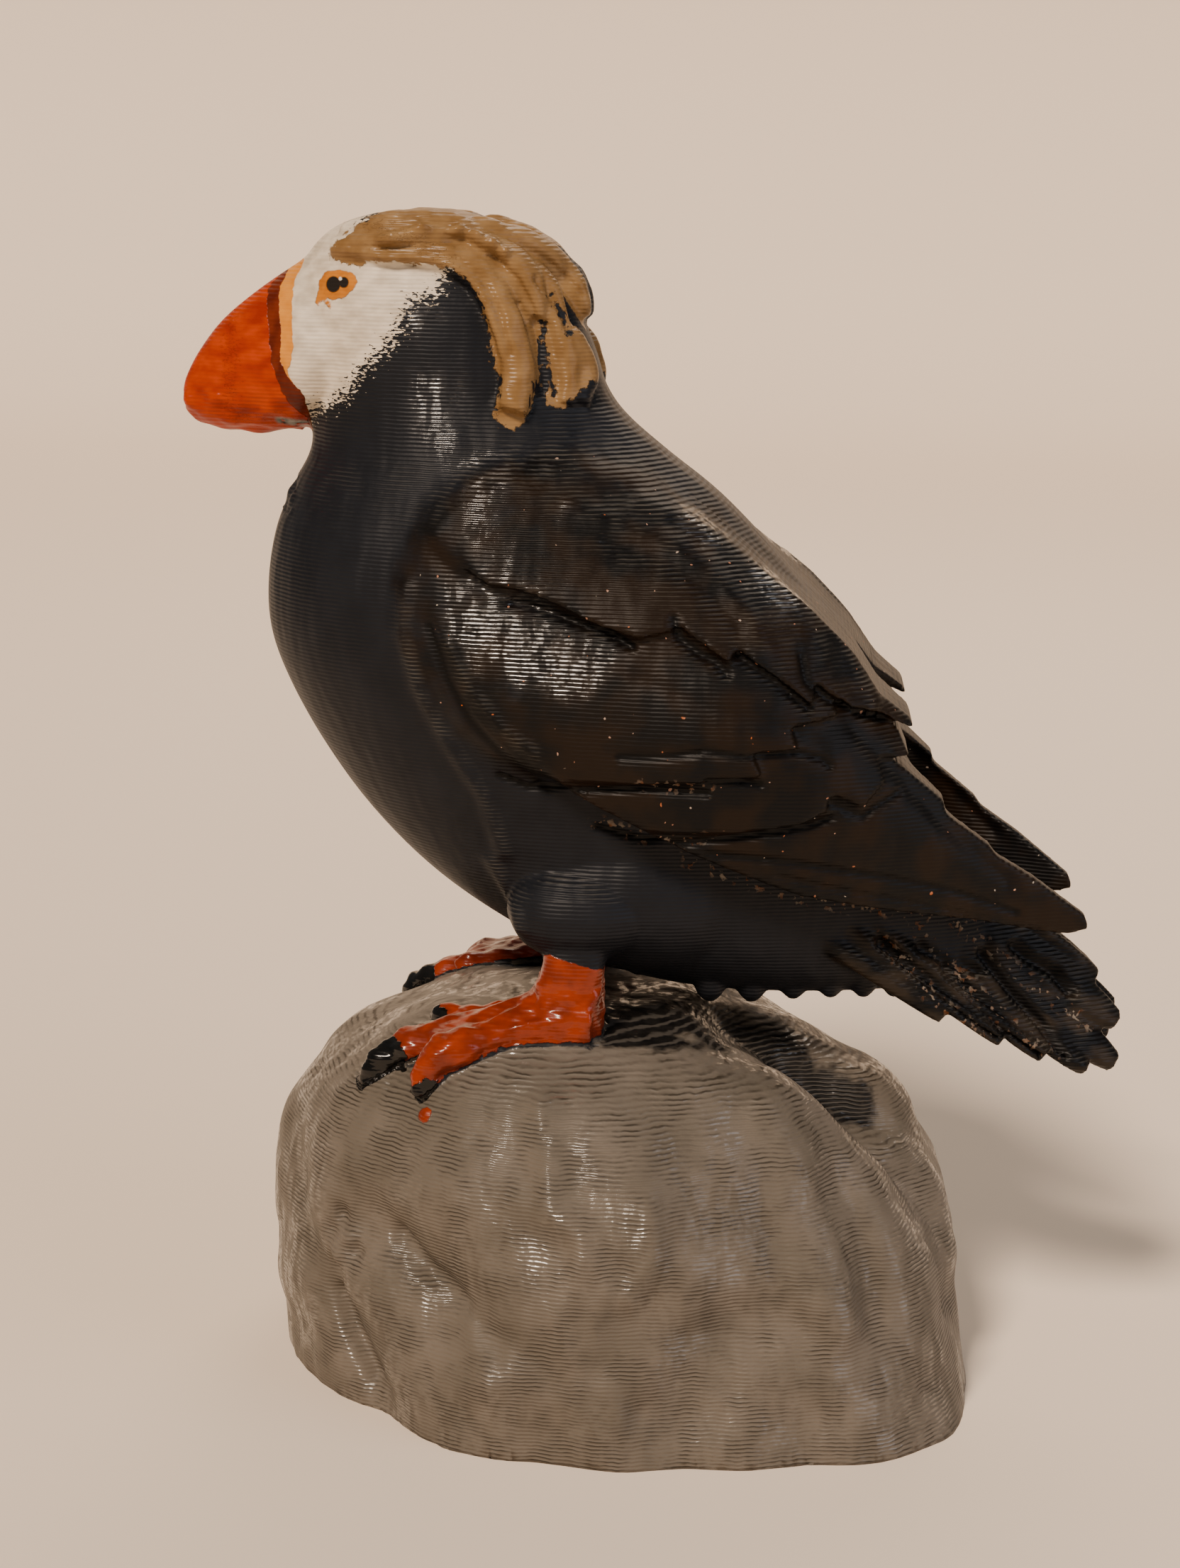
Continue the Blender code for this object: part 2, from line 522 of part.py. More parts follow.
def make_web(stone_level):
    """Mass of the foot from the heel to the toes, filled down to the stone."""
    across = 9
    lengthwise = 9
    edge = [np.array(base) for base, _ in TOES]
    heel = np.array(HEEL)
    top = []
    for i in range(lengthwise):
        share = i / (lengthwise - 1)
        for j in range(across):
            place = j / (across - 1) * 2.0
            k = min(int(place), 1)
            rim = edge[k] + (edge[k + 1] - edge[k]) * (place - k)
            start = heel[k] + (heel[k + 1] - heel[k]) * (place - k)
            sag = 1.0 - 0.04 * math.sin(math.pi * (place - k))
            point = start + (rim - start) * share * sag
            top.append((point[0], -point[1]))
    points = [(x, y, foot_level(x, y, stone_level)) for x, y in top]
    points += [(x, y, stone_level(x, y) - TOE_SINK) for x, y in top]
    count = across * lengthwise
    faces = []
    for i in range(lengthwise - 1):
        for j in range(across - 1):
            a = i * across + j
            quad = (a, a + 1, a + 1 + across, a + across)
            faces.append(quad)
            faces.append(tuple(v + count for v in reversed(quad)))
    rim = ([j for j in range(across)]
           + [i * across + across - 1 for i in range(1, lengthwise)]
           + [(lengthwise - 1) * across + j for j in range(across - 2, -1, -1)]
           + [i * across for i in range(lengthwise - 2, 0, -1)])
    for k, a in enumerate(rim):
        b = rim[(k + 1) % len(rim)]
        faces.append((b, a, a + count, b + count))
    return outward(np.array(points), faces)


def make_rock():
    """Boulder in rock squares: a plan outline that closes in towards the top."""
    turns = np.linspace(0.0, 360.0, 96, endpoint=False)
    angles, ground, belly, square = np.array(ROCK_PLAN).T
    ground = np.interp(turns, angles, ground)
    belly = np.interp(turns, angles, belly)
    square = np.interp(turns, angles, square)
    soften = np.array([1.0, 2.0, 3.0, 2.0, 1.0]) / 9.0
    ground, belly, square = (
        np.convolve(np.concatenate([row[-2:], row, row[:2]]), soften, mode="valid")
        for row in (ground, belly, square))
    cosines = np.cos(np.radians(turns))
    sines = np.sin(np.radians(turns))
    crown = ROCK_TOP - ROCK_BELLY_HEIGHT
    outlines = []
    for climb in np.linspace(0.5 * math.pi * 0.97, 0.0, 34):
        reach = belly * math.cos(climb) ** (2.0 / square)
        outlines.append((reach, ROCK_BELLY_HEIGHT + crown * math.sin(climb) ** (2.0 / square)))
    for drop in np.linspace(0.08, 1.0, 14):
        blend = 1.0 - math.cos(0.5 * math.pi * drop)
        height = ROCK_BELLY_HEIGHT - drop * (ROCK_BELLY_HEIGHT + ROCK_ROOT_DEPTH)
        outlines.append((belly + (ground - belly) * blend, np.full(len(turns), height)))
    rings = []
    for reach, height in outlines:
        ring = np.stack([reach * cosines, reach * sines, height], axis=1)
        rings.append(np.array([rock_place(Vector(place)) for place in ring]))
    return skin_rings(rings)


def rock_place(place):
    """A place on the plain boulder, moved out or in by the relief there."""
    out = Vector((place.x, place.y, max(place.z - ROCK_BELLY_HEIGHT, 0.0))).normalized()
    return tuple(place + out * rock_relief(place))


def rock_relief(place):
    """Height of the swellings, hollows and creases at a place on the boulder."""
    height = 0.0
    for x, y, z, radius, rise in ROCK_SWELLINGS:
        away = (place - Vector((x, y, z))).length / radius
        height += rise * math.exp(-away * away)
    for ax, ay, az, bx, by, bz, half_width, depth in ROCK_CREASES:
        start = Vector((ax, ay, az))
        line = Vector((bx, by, bz)) - start
        share = min(max((place - start).dot(line) / line.length_squared, 0.0), 1.0)
        away = (place - start - line * share).length / (1.6 * half_width)
        height -= depth * math.exp(-away * away)
    return height


def paint_material():
    """Dark satin paint, the colour of most of the bird."""
    material = bpy.data.materials.new("dark_satin_paint")
    material.use_nodes = True
    shader = material.node_tree.nodes["Principled BSDF"]
    shader.inputs["Base Color"].default_value = PAINT_COLOUR
    shader.inputs["Roughness"].default_value = PAINT_ROUGHNESS
    shader.inputs["Metallic"].default_value = 0.0
    return material


def mesh_of(name, forms):
    """One mesh holding all the given forms."""
    points = []
    faces = []
    for form_points, form_faces in forms:
        base = len(points)
        points.extend(tuple(point) for point in form_points)
        faces.extend(tuple(base + v for v in face) for face in form_faces)
    mesh = bpy.data.meshes.new(name)
    mesh.from_pydata(points, [], faces)
    return mesh


def fuse(name, forms):
    """Grow one skin over all the forms, as the printer lays one wall round them."""
    rough = bpy.data.objects.new(name + "_forms", mesh_of(name + "_forms", forms))
    bpy.context.scene.collection.objects.link(rough)
    skin = rough.modifiers.new("Skin", "REMESH")
    skin.mode = "VOXEL"
    skin.voxel_size = PRINT_GRAIN
    skin.adaptivity = 0.0
    soften = rough.modifiers.new("Soften", "SMOOTH")
    soften.factor = 0.5
    soften.iterations = 2
    evaluated = rough.evaluated_get(bpy.context.evaluated_depsgraph_get())
    mesh = bpy.data.meshes.new_from_object(evaluated)
    mesh.name = name
    bpy.data.objects.remove(rough, do_unlink=True)
    keep_largest(mesh)
    piece = bpy.data.objects.new(name, mesh)
    bpy.context.scene.collection.objects.link(piece)
    return piece


def keep_largest(mesh):
    """Delete loose specks, so that the mesh is one body."""
    bm = bmesh.new()
    bm.from_mesh(mesh)
    unseen = set(bm.verts)
    islands = []
    while unseen:
        stack = [unseen.pop()]
        island = list(stack)
        while stack:
            for edge in stack.pop().link_edges:
                for vert in edge.verts:
                    if vert in unseen:
                        unseen.remove(vert)
                        stack.append(vert)
                        island.append(vert)
        islands.append(island)
    islands.sort(key=len)
    for island in islands[:-1]:
        bmesh.ops.delete(bm, geom=island, context="VERTS")
    bm.to_mesh(mesh)
    bm.free()


def ground_block():
    """Block below the ground, which cuts the underside flat."""
    reach = ROCK_LENGTH + ROCK_DEPTH
    bm = bmesh.new()
    bmesh.ops.create_cube(bm, size=1.0)
    bmesh.ops.scale(bm, vec=(reach, reach, ROCK_HEIGHT), verts=bm.verts)
    bmesh.ops.translate(bm, vec=(0.0, 0.0, -0.5 * ROCK_HEIGHT), verts=bm.verts)
    mesh = bpy.data.meshes.new("ground_block")
    bm.to_mesh(mesh)
    bm.free()
    block = bpy.data.objects.new("ground_block", mesh)
    bpy.context.scene.collection.objects.link(block)
    block.hide_render = True
    block.display_type = "WIRE"
    return block


def bird_forms(stone_level):
    """All the forms of the bird, in bird squares from its soles."""
    body = make_body()
    flank = tree_of(body)
    one_side = [make_lock(rows, flank) for rows in TUFT_LOCKS]
    for outline, front_lift, back_lift in WING_LAYERS:
        one_side.append(make_layer(outline, front_lift, back_lift, flank))
    one_side.append(make_thigh())
    one_side += [make_tail_feather(*row) for row in TAIL_FEATHERS]
    one_side += [make_drop(*row) for row in BELLY_SCARS]
    forms = [body, make_beak(), make_tail_feather(*TAIL_KEEL)]
    for form in one_side:
        forms += [form, mirrored(form)]
    for side in (-1.0, 1.0):
        foot = make_foot(lambda x, y, side=side: stone_level(x, -side * y))
        forms += foot if side < 0 else [mirrored(form) for form in foot]
    return forms


def main():
    clear_scene()
    rock_points, rock_faces = make_rock()
    rock = (rock_points * np.array(ROCK_SCALE), rock_faces)
    stone = tree_of(rock)

    def stone_height(x, y):
        """Height of the boulder's top at x and y, in metres."""
        hit = stone.ray_cast(Vector((x, y, 2 * ROCK_HEIGHT)), Vector((0.0, 0.0, -1.0)))[0]
        return hit.z if hit else 0.0

    sole = stone_height(HEEL[1][0] * BIRD_SQUARE, -HEEL[1][1] * BIRD_SQUARE)

    def stone_level(x, y):
        """Height of the boulder over the soles, in bird squares."""
        return (stone_height(x * BIRD_SQUARE, y * BIRD_SQUARE) - sole) / BIRD_SQUARE

    forms = [rock]
    for points, faces in bird_forms(stone_level):
        forms.append((points * BIRD_SQUARE + np.array([0.0, 0.0, sole]), faces))

    piece = fuse("puffin_on_boulder", forms)
    facets = sum(len(face.vertices) - 2 for face in piece.data.polygons)
    thin = piece.modifiers.new("Thin", "DECIMATE")
    thin.ratio = min(1.0, FACET_COUNT / facets)
    thin.use_collapse_triangulate = True
    cut = piece.modifiers.new("Underside", "BOOLEAN")
    cut.operation = "DIFFERENCE"
    cut.object = ground_block()
    piece.data.materials.append(paint_material())


main()
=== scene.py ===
# %% [markdown]
# # A painted puffin print on its boulder
# The object is a small plastic print, about as tall as a hand is wide, painted by hand with
# hobby paints. Bird and boulder came off the printer as one piece, so the whole lesson ends
# with one skin. Blender offers sculpting for such a form, but a lesson that runs by itself
# is better served by forms with real sizes: each feather layer, lock and toe is modelled
# as its own closed form, and a voxel remesh then grows one skin over all of them.

# %% The fixed frame
import functools
import math

import bpy
import numpy as np
from mathutils import Matrix, Vector
from mathutils.bvhtree import BVHTree


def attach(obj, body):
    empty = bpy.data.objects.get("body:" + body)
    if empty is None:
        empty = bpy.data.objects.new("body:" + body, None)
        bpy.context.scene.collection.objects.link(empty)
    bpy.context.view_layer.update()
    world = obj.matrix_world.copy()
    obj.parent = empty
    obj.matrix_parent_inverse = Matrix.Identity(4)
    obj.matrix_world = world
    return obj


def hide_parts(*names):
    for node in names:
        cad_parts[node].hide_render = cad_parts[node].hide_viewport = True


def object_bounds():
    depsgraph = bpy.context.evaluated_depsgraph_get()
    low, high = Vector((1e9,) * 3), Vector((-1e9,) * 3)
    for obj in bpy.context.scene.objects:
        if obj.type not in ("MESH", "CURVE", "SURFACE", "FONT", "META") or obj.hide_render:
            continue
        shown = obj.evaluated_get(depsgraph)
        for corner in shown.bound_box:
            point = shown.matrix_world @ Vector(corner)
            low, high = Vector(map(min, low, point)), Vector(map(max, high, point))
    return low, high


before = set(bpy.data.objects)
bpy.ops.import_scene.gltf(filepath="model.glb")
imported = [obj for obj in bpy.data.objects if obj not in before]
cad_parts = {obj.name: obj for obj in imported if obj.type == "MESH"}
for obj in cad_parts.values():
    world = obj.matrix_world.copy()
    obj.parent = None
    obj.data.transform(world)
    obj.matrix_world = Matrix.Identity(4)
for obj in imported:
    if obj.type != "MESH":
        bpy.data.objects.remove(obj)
bpy.context.view_layer.update()
cad_box = [list(corner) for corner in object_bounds()]
PRINT = "puffin_on_boulder"
MM = 0.001
print("solid of the print, in mm:", [[round(v / MM, 1) for v in corner] for corner in cad_box])

# %% [markdown]
# The camera comes first, because every later look goes through it. It stands 26 cm in front
# of the boulder, as high as the bird's crown, and looks down by 12 degrees. A lens of
# 65 mm at that distance gives the gentle perspective of a close product photograph.

# %% The camera
CAMERA_PLACE = (13.806, -256.148, 109.4)
CAMERA_PITCH = math.radians(12.0)
CAMERA_TURN = math.radians(3.8)
CAMERA_ROLL = math.radians(0.98)
ahead = Vector((-math.sin(CAMERA_TURN) * math.cos(CAMERA_PITCH),
                math.cos(CAMERA_TURN) * math.cos(CAMERA_PITCH),
                -math.sin(CAMERA_PITCH)))
level = Vector((math.cos(CAMERA_TURN), math.sin(CAMERA_TURN), 0.0))
raised = level.cross(ahead)
sideways = level * math.cos(CAMERA_ROLL) + raised * math.sin(CAMERA_ROLL)
upwards = raised * math.cos(CAMERA_ROLL) - level * math.sin(CAMERA_ROLL)
turn = Matrix((sideways, upwards, -ahead)).transposed()
bpy.ops.object.camera_add(location=Vector(CAMERA_PLACE) * MM, rotation=turn.to_euler())
camera = bpy.context.object
camera.data.lens = 64.68
camera.data.clip_start = 0.01
bpy.context.scene.camera = camera
print("camera looks along", [round(v, 3) for v in ahead])

# %% [markdown]
# Every rounded form of the bird is a loft: a circle is added, extruded ring by ring, and
# each ring's points are put in their places, which is how one would model a tube by hand.
# The rings come from a few measured sections, and a smooth curve fills in the rest.

# %% Rings and lofts
def smooth_rows(rows, count):
    """Rows of numbers read off a smooth curve through the given rows."""
    table = np.array(rows, dtype=float)
    out = []
    for place in np.linspace(0.0, len(table) - 1.0, count):
        k = min(int(place), len(table) - 2)
        t = place - k
        before, a, b, after = (table[i] for i in (max(k - 1, 0), k, k + 1, min(k + 2, len(table) - 1)))
        out.append(0.5 * (2 * a + (b - before) * t
                          + (2 * before - 5 * a + 4 * b - after) * t ** 2
                          + (3 * a - before - 3 * b + after) * t ** 3))
    return np.array(out)


def face_outwards():
    """Turn every face of the active form to the outside."""
    bpy.ops.object.mode_set(mode="EDIT")
    bpy.ops.mesh.select_all(action="SELECT")
    bpy.ops.mesh.normals_make_consistent(inside=False)
    bpy.ops.object.mode_set(mode="OBJECT")


def loft(name, rings):
    """Extrude a circle through rings of points in millimetres, and close both ends."""
    rings = np.asarray(rings, dtype=float)
    bpy.ops.object.select_all(action="DESELECT")
    bpy.ops.mesh.primitive_circle_add(vertices=rings.shape[1], radius=MM)
    skin = bpy.context.object
    skin.name = name
    bpy.ops.object.mode_set(mode="EDIT")
    bpy.ops.mesh.select_all(action="SELECT")
    for _ in rings[1:]:
        bpy.ops.mesh.extrude_edges_move(TRANSFORM_OT_translate={"value": (0.0, 0.0, MM)})
    bpy.ops.object.mode_set(mode="OBJECT")
    skin.data.vertices.foreach_set("co", rings.ravel() * MM)
    bpy.ops.object.mode_set(mode="EDIT")
    bpy.ops.mesh.select_all(action="SELECT")
    bpy.ops.mesh.fill_holes(sides=0)
    bpy.ops.object.mode_set(mode="OBJECT")
    face_outwards()
    return skin


def sweep(name, rows, sides=16, breadth_axis=(0.0, 1.0, 0.0), squareness=2.0, count=None):
    """Loft a section along rows of x, y, z, half breadth, half thickness."""
    angles = np.linspace(0.0, 2 * math.pi, sides, endpoint=False)
    power = 2.0 / squareness
    across = np.sign(np.cos(angles)) * np.abs(np.cos(angles)) ** power
    along = np.sign(np.sin(angles)) * np.abs(np.sin(angles)) ** power
    rows = smooth_rows(rows, count or 5 * len(rows))
    rings = []
    for k, row in enumerate(rows):
        forward = Vector(rows[min(k + 1, len(rows) - 1)][:3] - rows[max(k - 1, 0)][:3]).normalized()
        wide = Vector(breadth_axis)
        wide = (wide - forward * wide.dot(forward)).normalized()
        thick = forward.cross(wide)
        rings.append([Vector(row[:3]) + wide * (a * row[3]) + thick * (b * row[4])
                      for a, b in zip(across, along)])
    return loft(name, rings)


def tree_of(thing):
    """Search tree of a form, which rays and nearest points are asked of."""
    return BVHTree.FromObject(thing, bpy.context.evaluated_depsgraph_get())


def joined(name, forms, mirror=False):
    """Join forms into one object, and add their twins on the far side if wanted."""
    bpy.ops.object.select_all(action="DESELECT")
    for form in forms:
        form.select_set(True)
    bpy.context.view_layer.objects.active = forms[0]
    if len(forms) > 1:
        bpy.ops.object.join()
    whole = bpy.context.object
    whole.name = name
    if mirror:
        twin = whole.modifiers.new("far_side", "MIRROR")
        twin.use_axis = (False, True, False)
        twin.use_mirror_merge = False
        bpy.ops.object.modifier_apply(modifier=twin.name)
    print(name, "has", len(whole.data.polygons), "faces")
    return whole


# %% [markdown]
# The boulder is cast off a plan: for each direction it has a reach at the ground, a reach at
# its belly, and a number that says how square its shoulder is. That keeps the silhouette
# of the real one from every side that shows. Swellings and creases are then pushed out of
# and into that form, as one would with a soft brush.

# %% The boulder
ROCK_CROWN = 35.7
ROCK_BELLY_HEIGHT = 12.0
ROCK_ROOT_DEPTH = 3.0
# angle, reach at the ground, reach at the belly, squareness
ROCK_PLAN = (
    (0.0, 34.0, 31.8, 1.8), (30.0, 32.4, 30.6, 1.9), (60.0, 29.6, 30.0, 2.3),
    (90.0, 28.0, 29.0, 2.6), (120.0, 29.0, 30.6, 2.6), (150.0, 31.0, 32.4, 2.7),
    (180.0, 31.8, 32.6, 2.8), (195.0, 29.8, 31.6, 3.0), (210.0, 28.4, 30.6, 3.2),
    (225.0, 27.6, 29.4, 3.3), (243.0, 29.0, 28.8, 3.2), (262.0, 27.7, 28.0, 3.1),
    (285.0, 29.2, 28.4, 2.7), (303.0, 32.0, 29.6, 2.2), (314.0, 36.2, 32.6, 1.9),
    (327.0, 37.8, 34.0, 1.7), (341.0, 35.6, 32.8, 1.7), (360.0, 34.0, 31.8, 1.8),
)
# centre x, y, z, radius, height (below zero it is a hollow)
ROCK_SWELLINGS = (
    (-24.0, -19.0, 18.0, 8.0, 0.9), (-31.0, -2.0, 20.0, 8.0, 0.8), (-6.0, -28.0, 6.0, 9.0, 1.5),
    (3.0, -27.0, 20.0, 9.0, 1.5), (20.0, -26.0, 8.0, 8.0, 1.2), (15.0, -17.0, 29.0, 7.0, 1.7),
    (-8.0, -19.0, 31.0, 8.0, 0.8), (35.5, -14.0, 6.0, 7.0, 1.1), (24.0, 3.0, 27.0, 6.0, 2.0),
    (31.0, 6.0, 18.0, 4.5, 0.9), (-9.0, 28.0, 14.0, 11.0, 1.8), (19.0, 25.0, 12.0, 10.0, 1.7),
    (-27.0, 16.0, 12.0, 10.0, 1.5), (2.0, 20.0, 30.0, 8.0, 1.2), (30.0, 13.0, 7.0, 8.0, 1.2),
    (-28.5, -11.0, 19.0, 2.6, -1.4), (-27.0, -14.0, 14.0, 2.4, -1.1), (20.0, -6.0, 32.0, 4.5, -2.2),
    (26.0, -8.0, 26.0, 4.0, -1.5), (10.0, -28.0, 12.0, 4.0, -1.1),
)
# start x, y, z, end x, y, z, half width, depth
ROCK_CREASES = (
    (-21.0, -21.0, 19.0, -11.0, -27.0, 12.0, 2.0, 2.2),
    (-25.0, -17.0, 11.0, -21.0, -20.0, 3.0, 1.5, 1.8),
    (13.0, -4.0, 35.0, 28.0, -9.0, 24.0, 2.4, 2.2),
    (28.0, -9.0, 24.0, 33.0, -9.0, 10.0, 1.7, 1.4),
    (7.0, -26.0, 28.0, 13.0, -27.0, 14.0, 2.4, 0.9),
    (20.0, -21.0, 23.0, 26.0, -24.0, 10.0, 1.9, 1.4),
    (-12.0, 24.0, 26.0, -16.0, 26.0, 4.0, 2.2, 1.6),
    (6.0, 26.0, 26.0, 9.0, 27.0, 3.0, 2.0, 1.5),
    (24.0, 17.0, 22.0, 27.0, 19.0, 3.0, 2.2, 1.4),
)


def segment_distance(places, start, end):
    """Distance of many places to one straight segment, and the share along it."""
    start, line = np.array(start), np.array(end) - np.array(start)
    share = np.clip((places - start) @ line / max(line @ line, 1e-9), 0.0, 1.0)
    return np.linalg.norm(places - start - share[:, None] * line, axis=1), share


def rock_relief(places):
    """Height of the boulder's swellings and creases at many places."""
    height = np.zeros(len(places))
    for x, y, z, radius, rise in ROCK_SWELLINGS:
        away = np.linalg.norm(places - np.array((x, y, z)), axis=1) / radius
        height += rise * np.exp(-away ** 2)
    for crease in ROCK_CREASES:
        away = segment_distance(places, crease[0:3], crease[3:6])[0] / (1.6 * crease[6])
        height -= crease[7] * np.exp(-away ** 2)
    return height


turns = np.linspace(0.0, 360.0, 120, endpoint=False)
plan = [np.interp(turns, *np.array(ROCK_PLAN).T[[0, row]]) for row in (1, 2, 3)]
soften = np.array([1.0, 2.0, 3.0, 2.0, 1.0]) / 9.0
ground, belly, square = (np.convolve(np.r_[row[-2:], row, row[:2]], soften, mode="valid")
                         for row in plan)
outlines = []
for climb in np.linspace(0.5 * math.pi * 0.97, 0.0, 44):
    rise = (ROCK_CROWN - ROCK_BELLY_HEIGHT) * math.sin(climb) ** (2.0 / square)
    outlines.append((belly * math.cos(climb) ** (2.0 / square), ROCK_BELLY_HEIGHT + rise))
for drop in np.linspace(0.06, 1.0, 18):
    blend = 1.0 - math.cos(0.5 * math.pi * drop)
    height = ROCK_BELLY_HEIGHT - drop * (ROCK_BELLY_HEIGHT + ROCK_ROOT_DEPTH)
    outlines.append((belly + (ground - belly) * blend, np.full(len(turns), height)))
rock_rings = []
for reach, height in outlines:
    ring = np.stack([reach * np.cos(np.radians(turns)), reach * np.sin(np.radians(turns)), height], axis=1)
    out = ring - (0.0, 0.0, ROCK_BELLY_HEIGHT)
    out[:, 2] = np.maximum(out[:, 2], 0.0)
    out /= np.linalg.norm(out, axis=1)[:, None]
    rock_rings.append(ring + out * rock_relief(ring)[:, None])
boulder = joined("boulder", [loft("boulder", rock_rings)])
rock_tree = tree_of(boulder)


def stone_height(x, y):
    """Height of the boulder's top under a place, in millimetres."""
    hit = rock_tree.ray_cast(Vector((x, y, 100.0)) * MM, Vector((0.0, 0.0, -1.0)))[0]
    return hit.z / MM if hit else 0.0


# %% [markdown]
# The bird is measured upwards from the soles of its feet, so the boulder's height under the
# heel lifts every one of its forms. The body is a loft of tilted level sections that
# narrow towards the tail, and the beak is a loft of upright ones.

# %% Body and beak
HEEL = ((-1.6, 10.6), (-1.4, 13.4), (-1.8, 16.6))
SOLE = stone_height(HEEL[1][0], -HEEL[1][1])
BACK_FULLNESS = 0.72
# front x, front z, back x, back z, half width, narrowing towards the back
BODY_SECTIONS = (
    (-18.8, 72.1, -16.4, 72.1, 1.2, 0.00), (-24.2, 71.4, -13.0, 71.3, 5.0, 0.00),
    (-27.6, 69.9, -10.2, 69.6, 6.9, 0.00), (-29.8, 67.2, -7.4, 66.8, 8.5, 0.00),
    (-30.7, 63.6, -5.0, 63.6, 9.6, 0.00), (-30.6, 59.6, -3.3, 59.6, 10.1, 0.00),
    (-29.8, 56.0, -2.3, 56.6, 10.3, 0.00), (-29.1, 53.2, -0.4, 54.0, 10.9, 0.00),
    (-29.2, 50.5, 3.4, 50.8, 12.3, 0.05), (-30.6, 47.6, 8.1, 47.2, 14.4, 0.10),
    (-32.3, 43.5, 12.6, 42.8, 16.6, 0.14), (-33.1, 38.5, 16.8, 38.2, 18.2, 0.18),
    (-32.8, 34.0, 19.8, 34.0, 19.0, 0.22), (-31.1, 29.4, 22.6, 29.0, 19.2, 0.26),
    (-28.0, 23.8, 25.6, 24.0, 18.6, 0.30), (-23.8, 18.0, 28.8, 18.6, 17.6, 0.34),
    (-18.6, 12.8, 31.8, 13.2, 16.9, 0.38), (-12.8, 8.6, 34.4, 8.8, 15.4, 0.42),
    (-5.8, 4.8, 36.0, 5.4, 12.8, 0.44), (1.0, 2.6, 35.0, 3.2, 9.4, 0.42),
    (7.0, 2.0, 30.0, 2.4, 6.2, 0.36), (14.0, 2.0, 24.0, 2.2, 1.6, 0.30),
)
# x, top z, bottom z, half width
BEAK_SECTIONS = (
    (-25.0, 67.6, 54.0, 7.4), (-28.8, 68.0, 52.6, 7.2), (-30.4, 67.1, 52.2, 6.4),
    (-33.8, 64.8, 51.8, 5.0), (-37.2, 62.0, 52.0, 3.6), (-39.4, 59.2, 52.6, 2.4),
    (-40.6, 57.0, 53.3, 1.4), (-41.0, 55.8, 54.2, 0.4),
)
around = np.linspace(0.0, 2 * math.pi, 72, endpoint=False)
share = 0.5 - 0.5 * np.cos(around)
fullness = np.where(share > 0.5, BACK_FULLNESS + (1.0 - BACK_FULLNESS) * (2 - 2 * share), 1.0)
bow = np.sign(np.sin(around)) * np.abs(np.sin(around)) ** fullness
body_rings = [np.stack([front_x + (back_x - front_x) * share, wide * bow * (1.0 - taper * share),
                        SOLE + front_z + (back_z - front_z) * share], axis=1)
              for front_x, front_z, back_x, back_z, wide, taper in smooth_rows(BODY_SECTIONS, 110)]
body = joined("body", [loft("body", body_rings)])
beak_rings = [np.stack([np.full(len(around), x), wide * np.sin(around) * (1.0 - 0.18 * np.cos(around)),
                        SOLE + 0.5 * (top + bottom) + 0.5 * (top - bottom) * np.cos(around)], axis=1)
              for x, top, bottom, wide in smooth_rows(BEAK_SECTIONS, 36)]
beak = joined("beak", [loft("beak", beak_rings)])
body_tree = tree_of(body)

# %% [markdown]
# The yellow tuft is a bundle of locks that start over the eye and hang behind the head. Each
# lock is a sweep laid on the head: its path is drawn on a side view, and every point of it
# is pulled onto the nearest skin, so that the lock lies half sunk all the way.

# %% The tuft
LOCK_RISE = 0.55
# x, z from the soles and half width along each lock
TUFT_LOCKS = (
    ((-26.0, 68.6, 1.0), (-22.5, 68.6, 1.5), (-18.5, 68.7, 1.6), (-15.2, 67.6, 1.5),
     (-12.8, 65.8, 1.4), (-11.2, 63.4, 1.4), (-10.1, 60.6, 1.4), (-9.4, 57.6, 1.4),
     (-9.9, 54.9, 1.4)),
    ((-25.2, 69.9, 1.0), (-21.0, 70.2, 1.6), (-16.5, 70.0, 1.7), (-13.0, 68.6, 1.7),
     (-10.4, 66.8, 1.8), (-8.8, 64.8, 1.5), (-8.1, 62.8, 0.9)),
    ((-10.4, 68.0, 1.2), (-7.8, 65.6, 1.2), (-6.5, 62.8, 1.1), (-5.7, 60.0, 1.1),
     (-5.3, 57.6, 1.0), (-5.5, 55.6, 0.8)),
    ((-14.0, 70.2, 1.4), (-9.8, 68.6, 1.7), (-7.0, 66.4, 1.8), (-5.2, 64.4, 1.6),
     (-4.3, 62.9, 0.9)),
    ((-6.6, 62.6, 0.8), (-4.7, 60.2, 1.1), (-3.9, 57.8, 1.1), (-4.2, 55.6, 0.9)),
    ((-9.4, 70.6, 0.9), (-5.6, 68.4, 1.1), (-3.3, 66.2, 0.9), (-2.2, 63.9, 0.7)),
)


def near_side(x, z):
    """Point of the body's near side at x and z, in millimetres."""
    hit = body_tree.ray_cast(Vector((x, -90.0, z)) * MM, Vector((0.0, 1.0, 0.0)))[0]
    if hit is None:
        hit = body_tree.find_nearest(Vector((x, -1.0, z)) * MM)[0]
    return hit


def lock(rows):
    """One lock of the near side, half sunk in the head."""
    path = []
    for x, z, wide in rows:
        place, normal = body_tree.find_nearest(near_side(x, SOLE + z))[:2]
        place = place / MM + normal * (LOCK_RISE * wide - 0.3)
        path.append((*place, wide, 0.8 * wide))
    path.insert(0, tuple(np.array(path[0]) * (1, 1, 1, 0.3, 0.3)))
    path.append(tuple(np.array(path[-1]) * (1, 1, 1, 0.5, 0.5)))
    middle = Vector(path[len(path) // 2][:3]) * MM
    forward = Vector(np.array(path[-1][:3]) - np.array(path[0][:3])).normalized()
    return sweep("lock", path, breadth_axis=forward.cross(body_tree.find_nearest(middle)[1]))


tuft = joined("tuft", [lock(rows) for rows in TUFT_LOCKS], mirror=True)

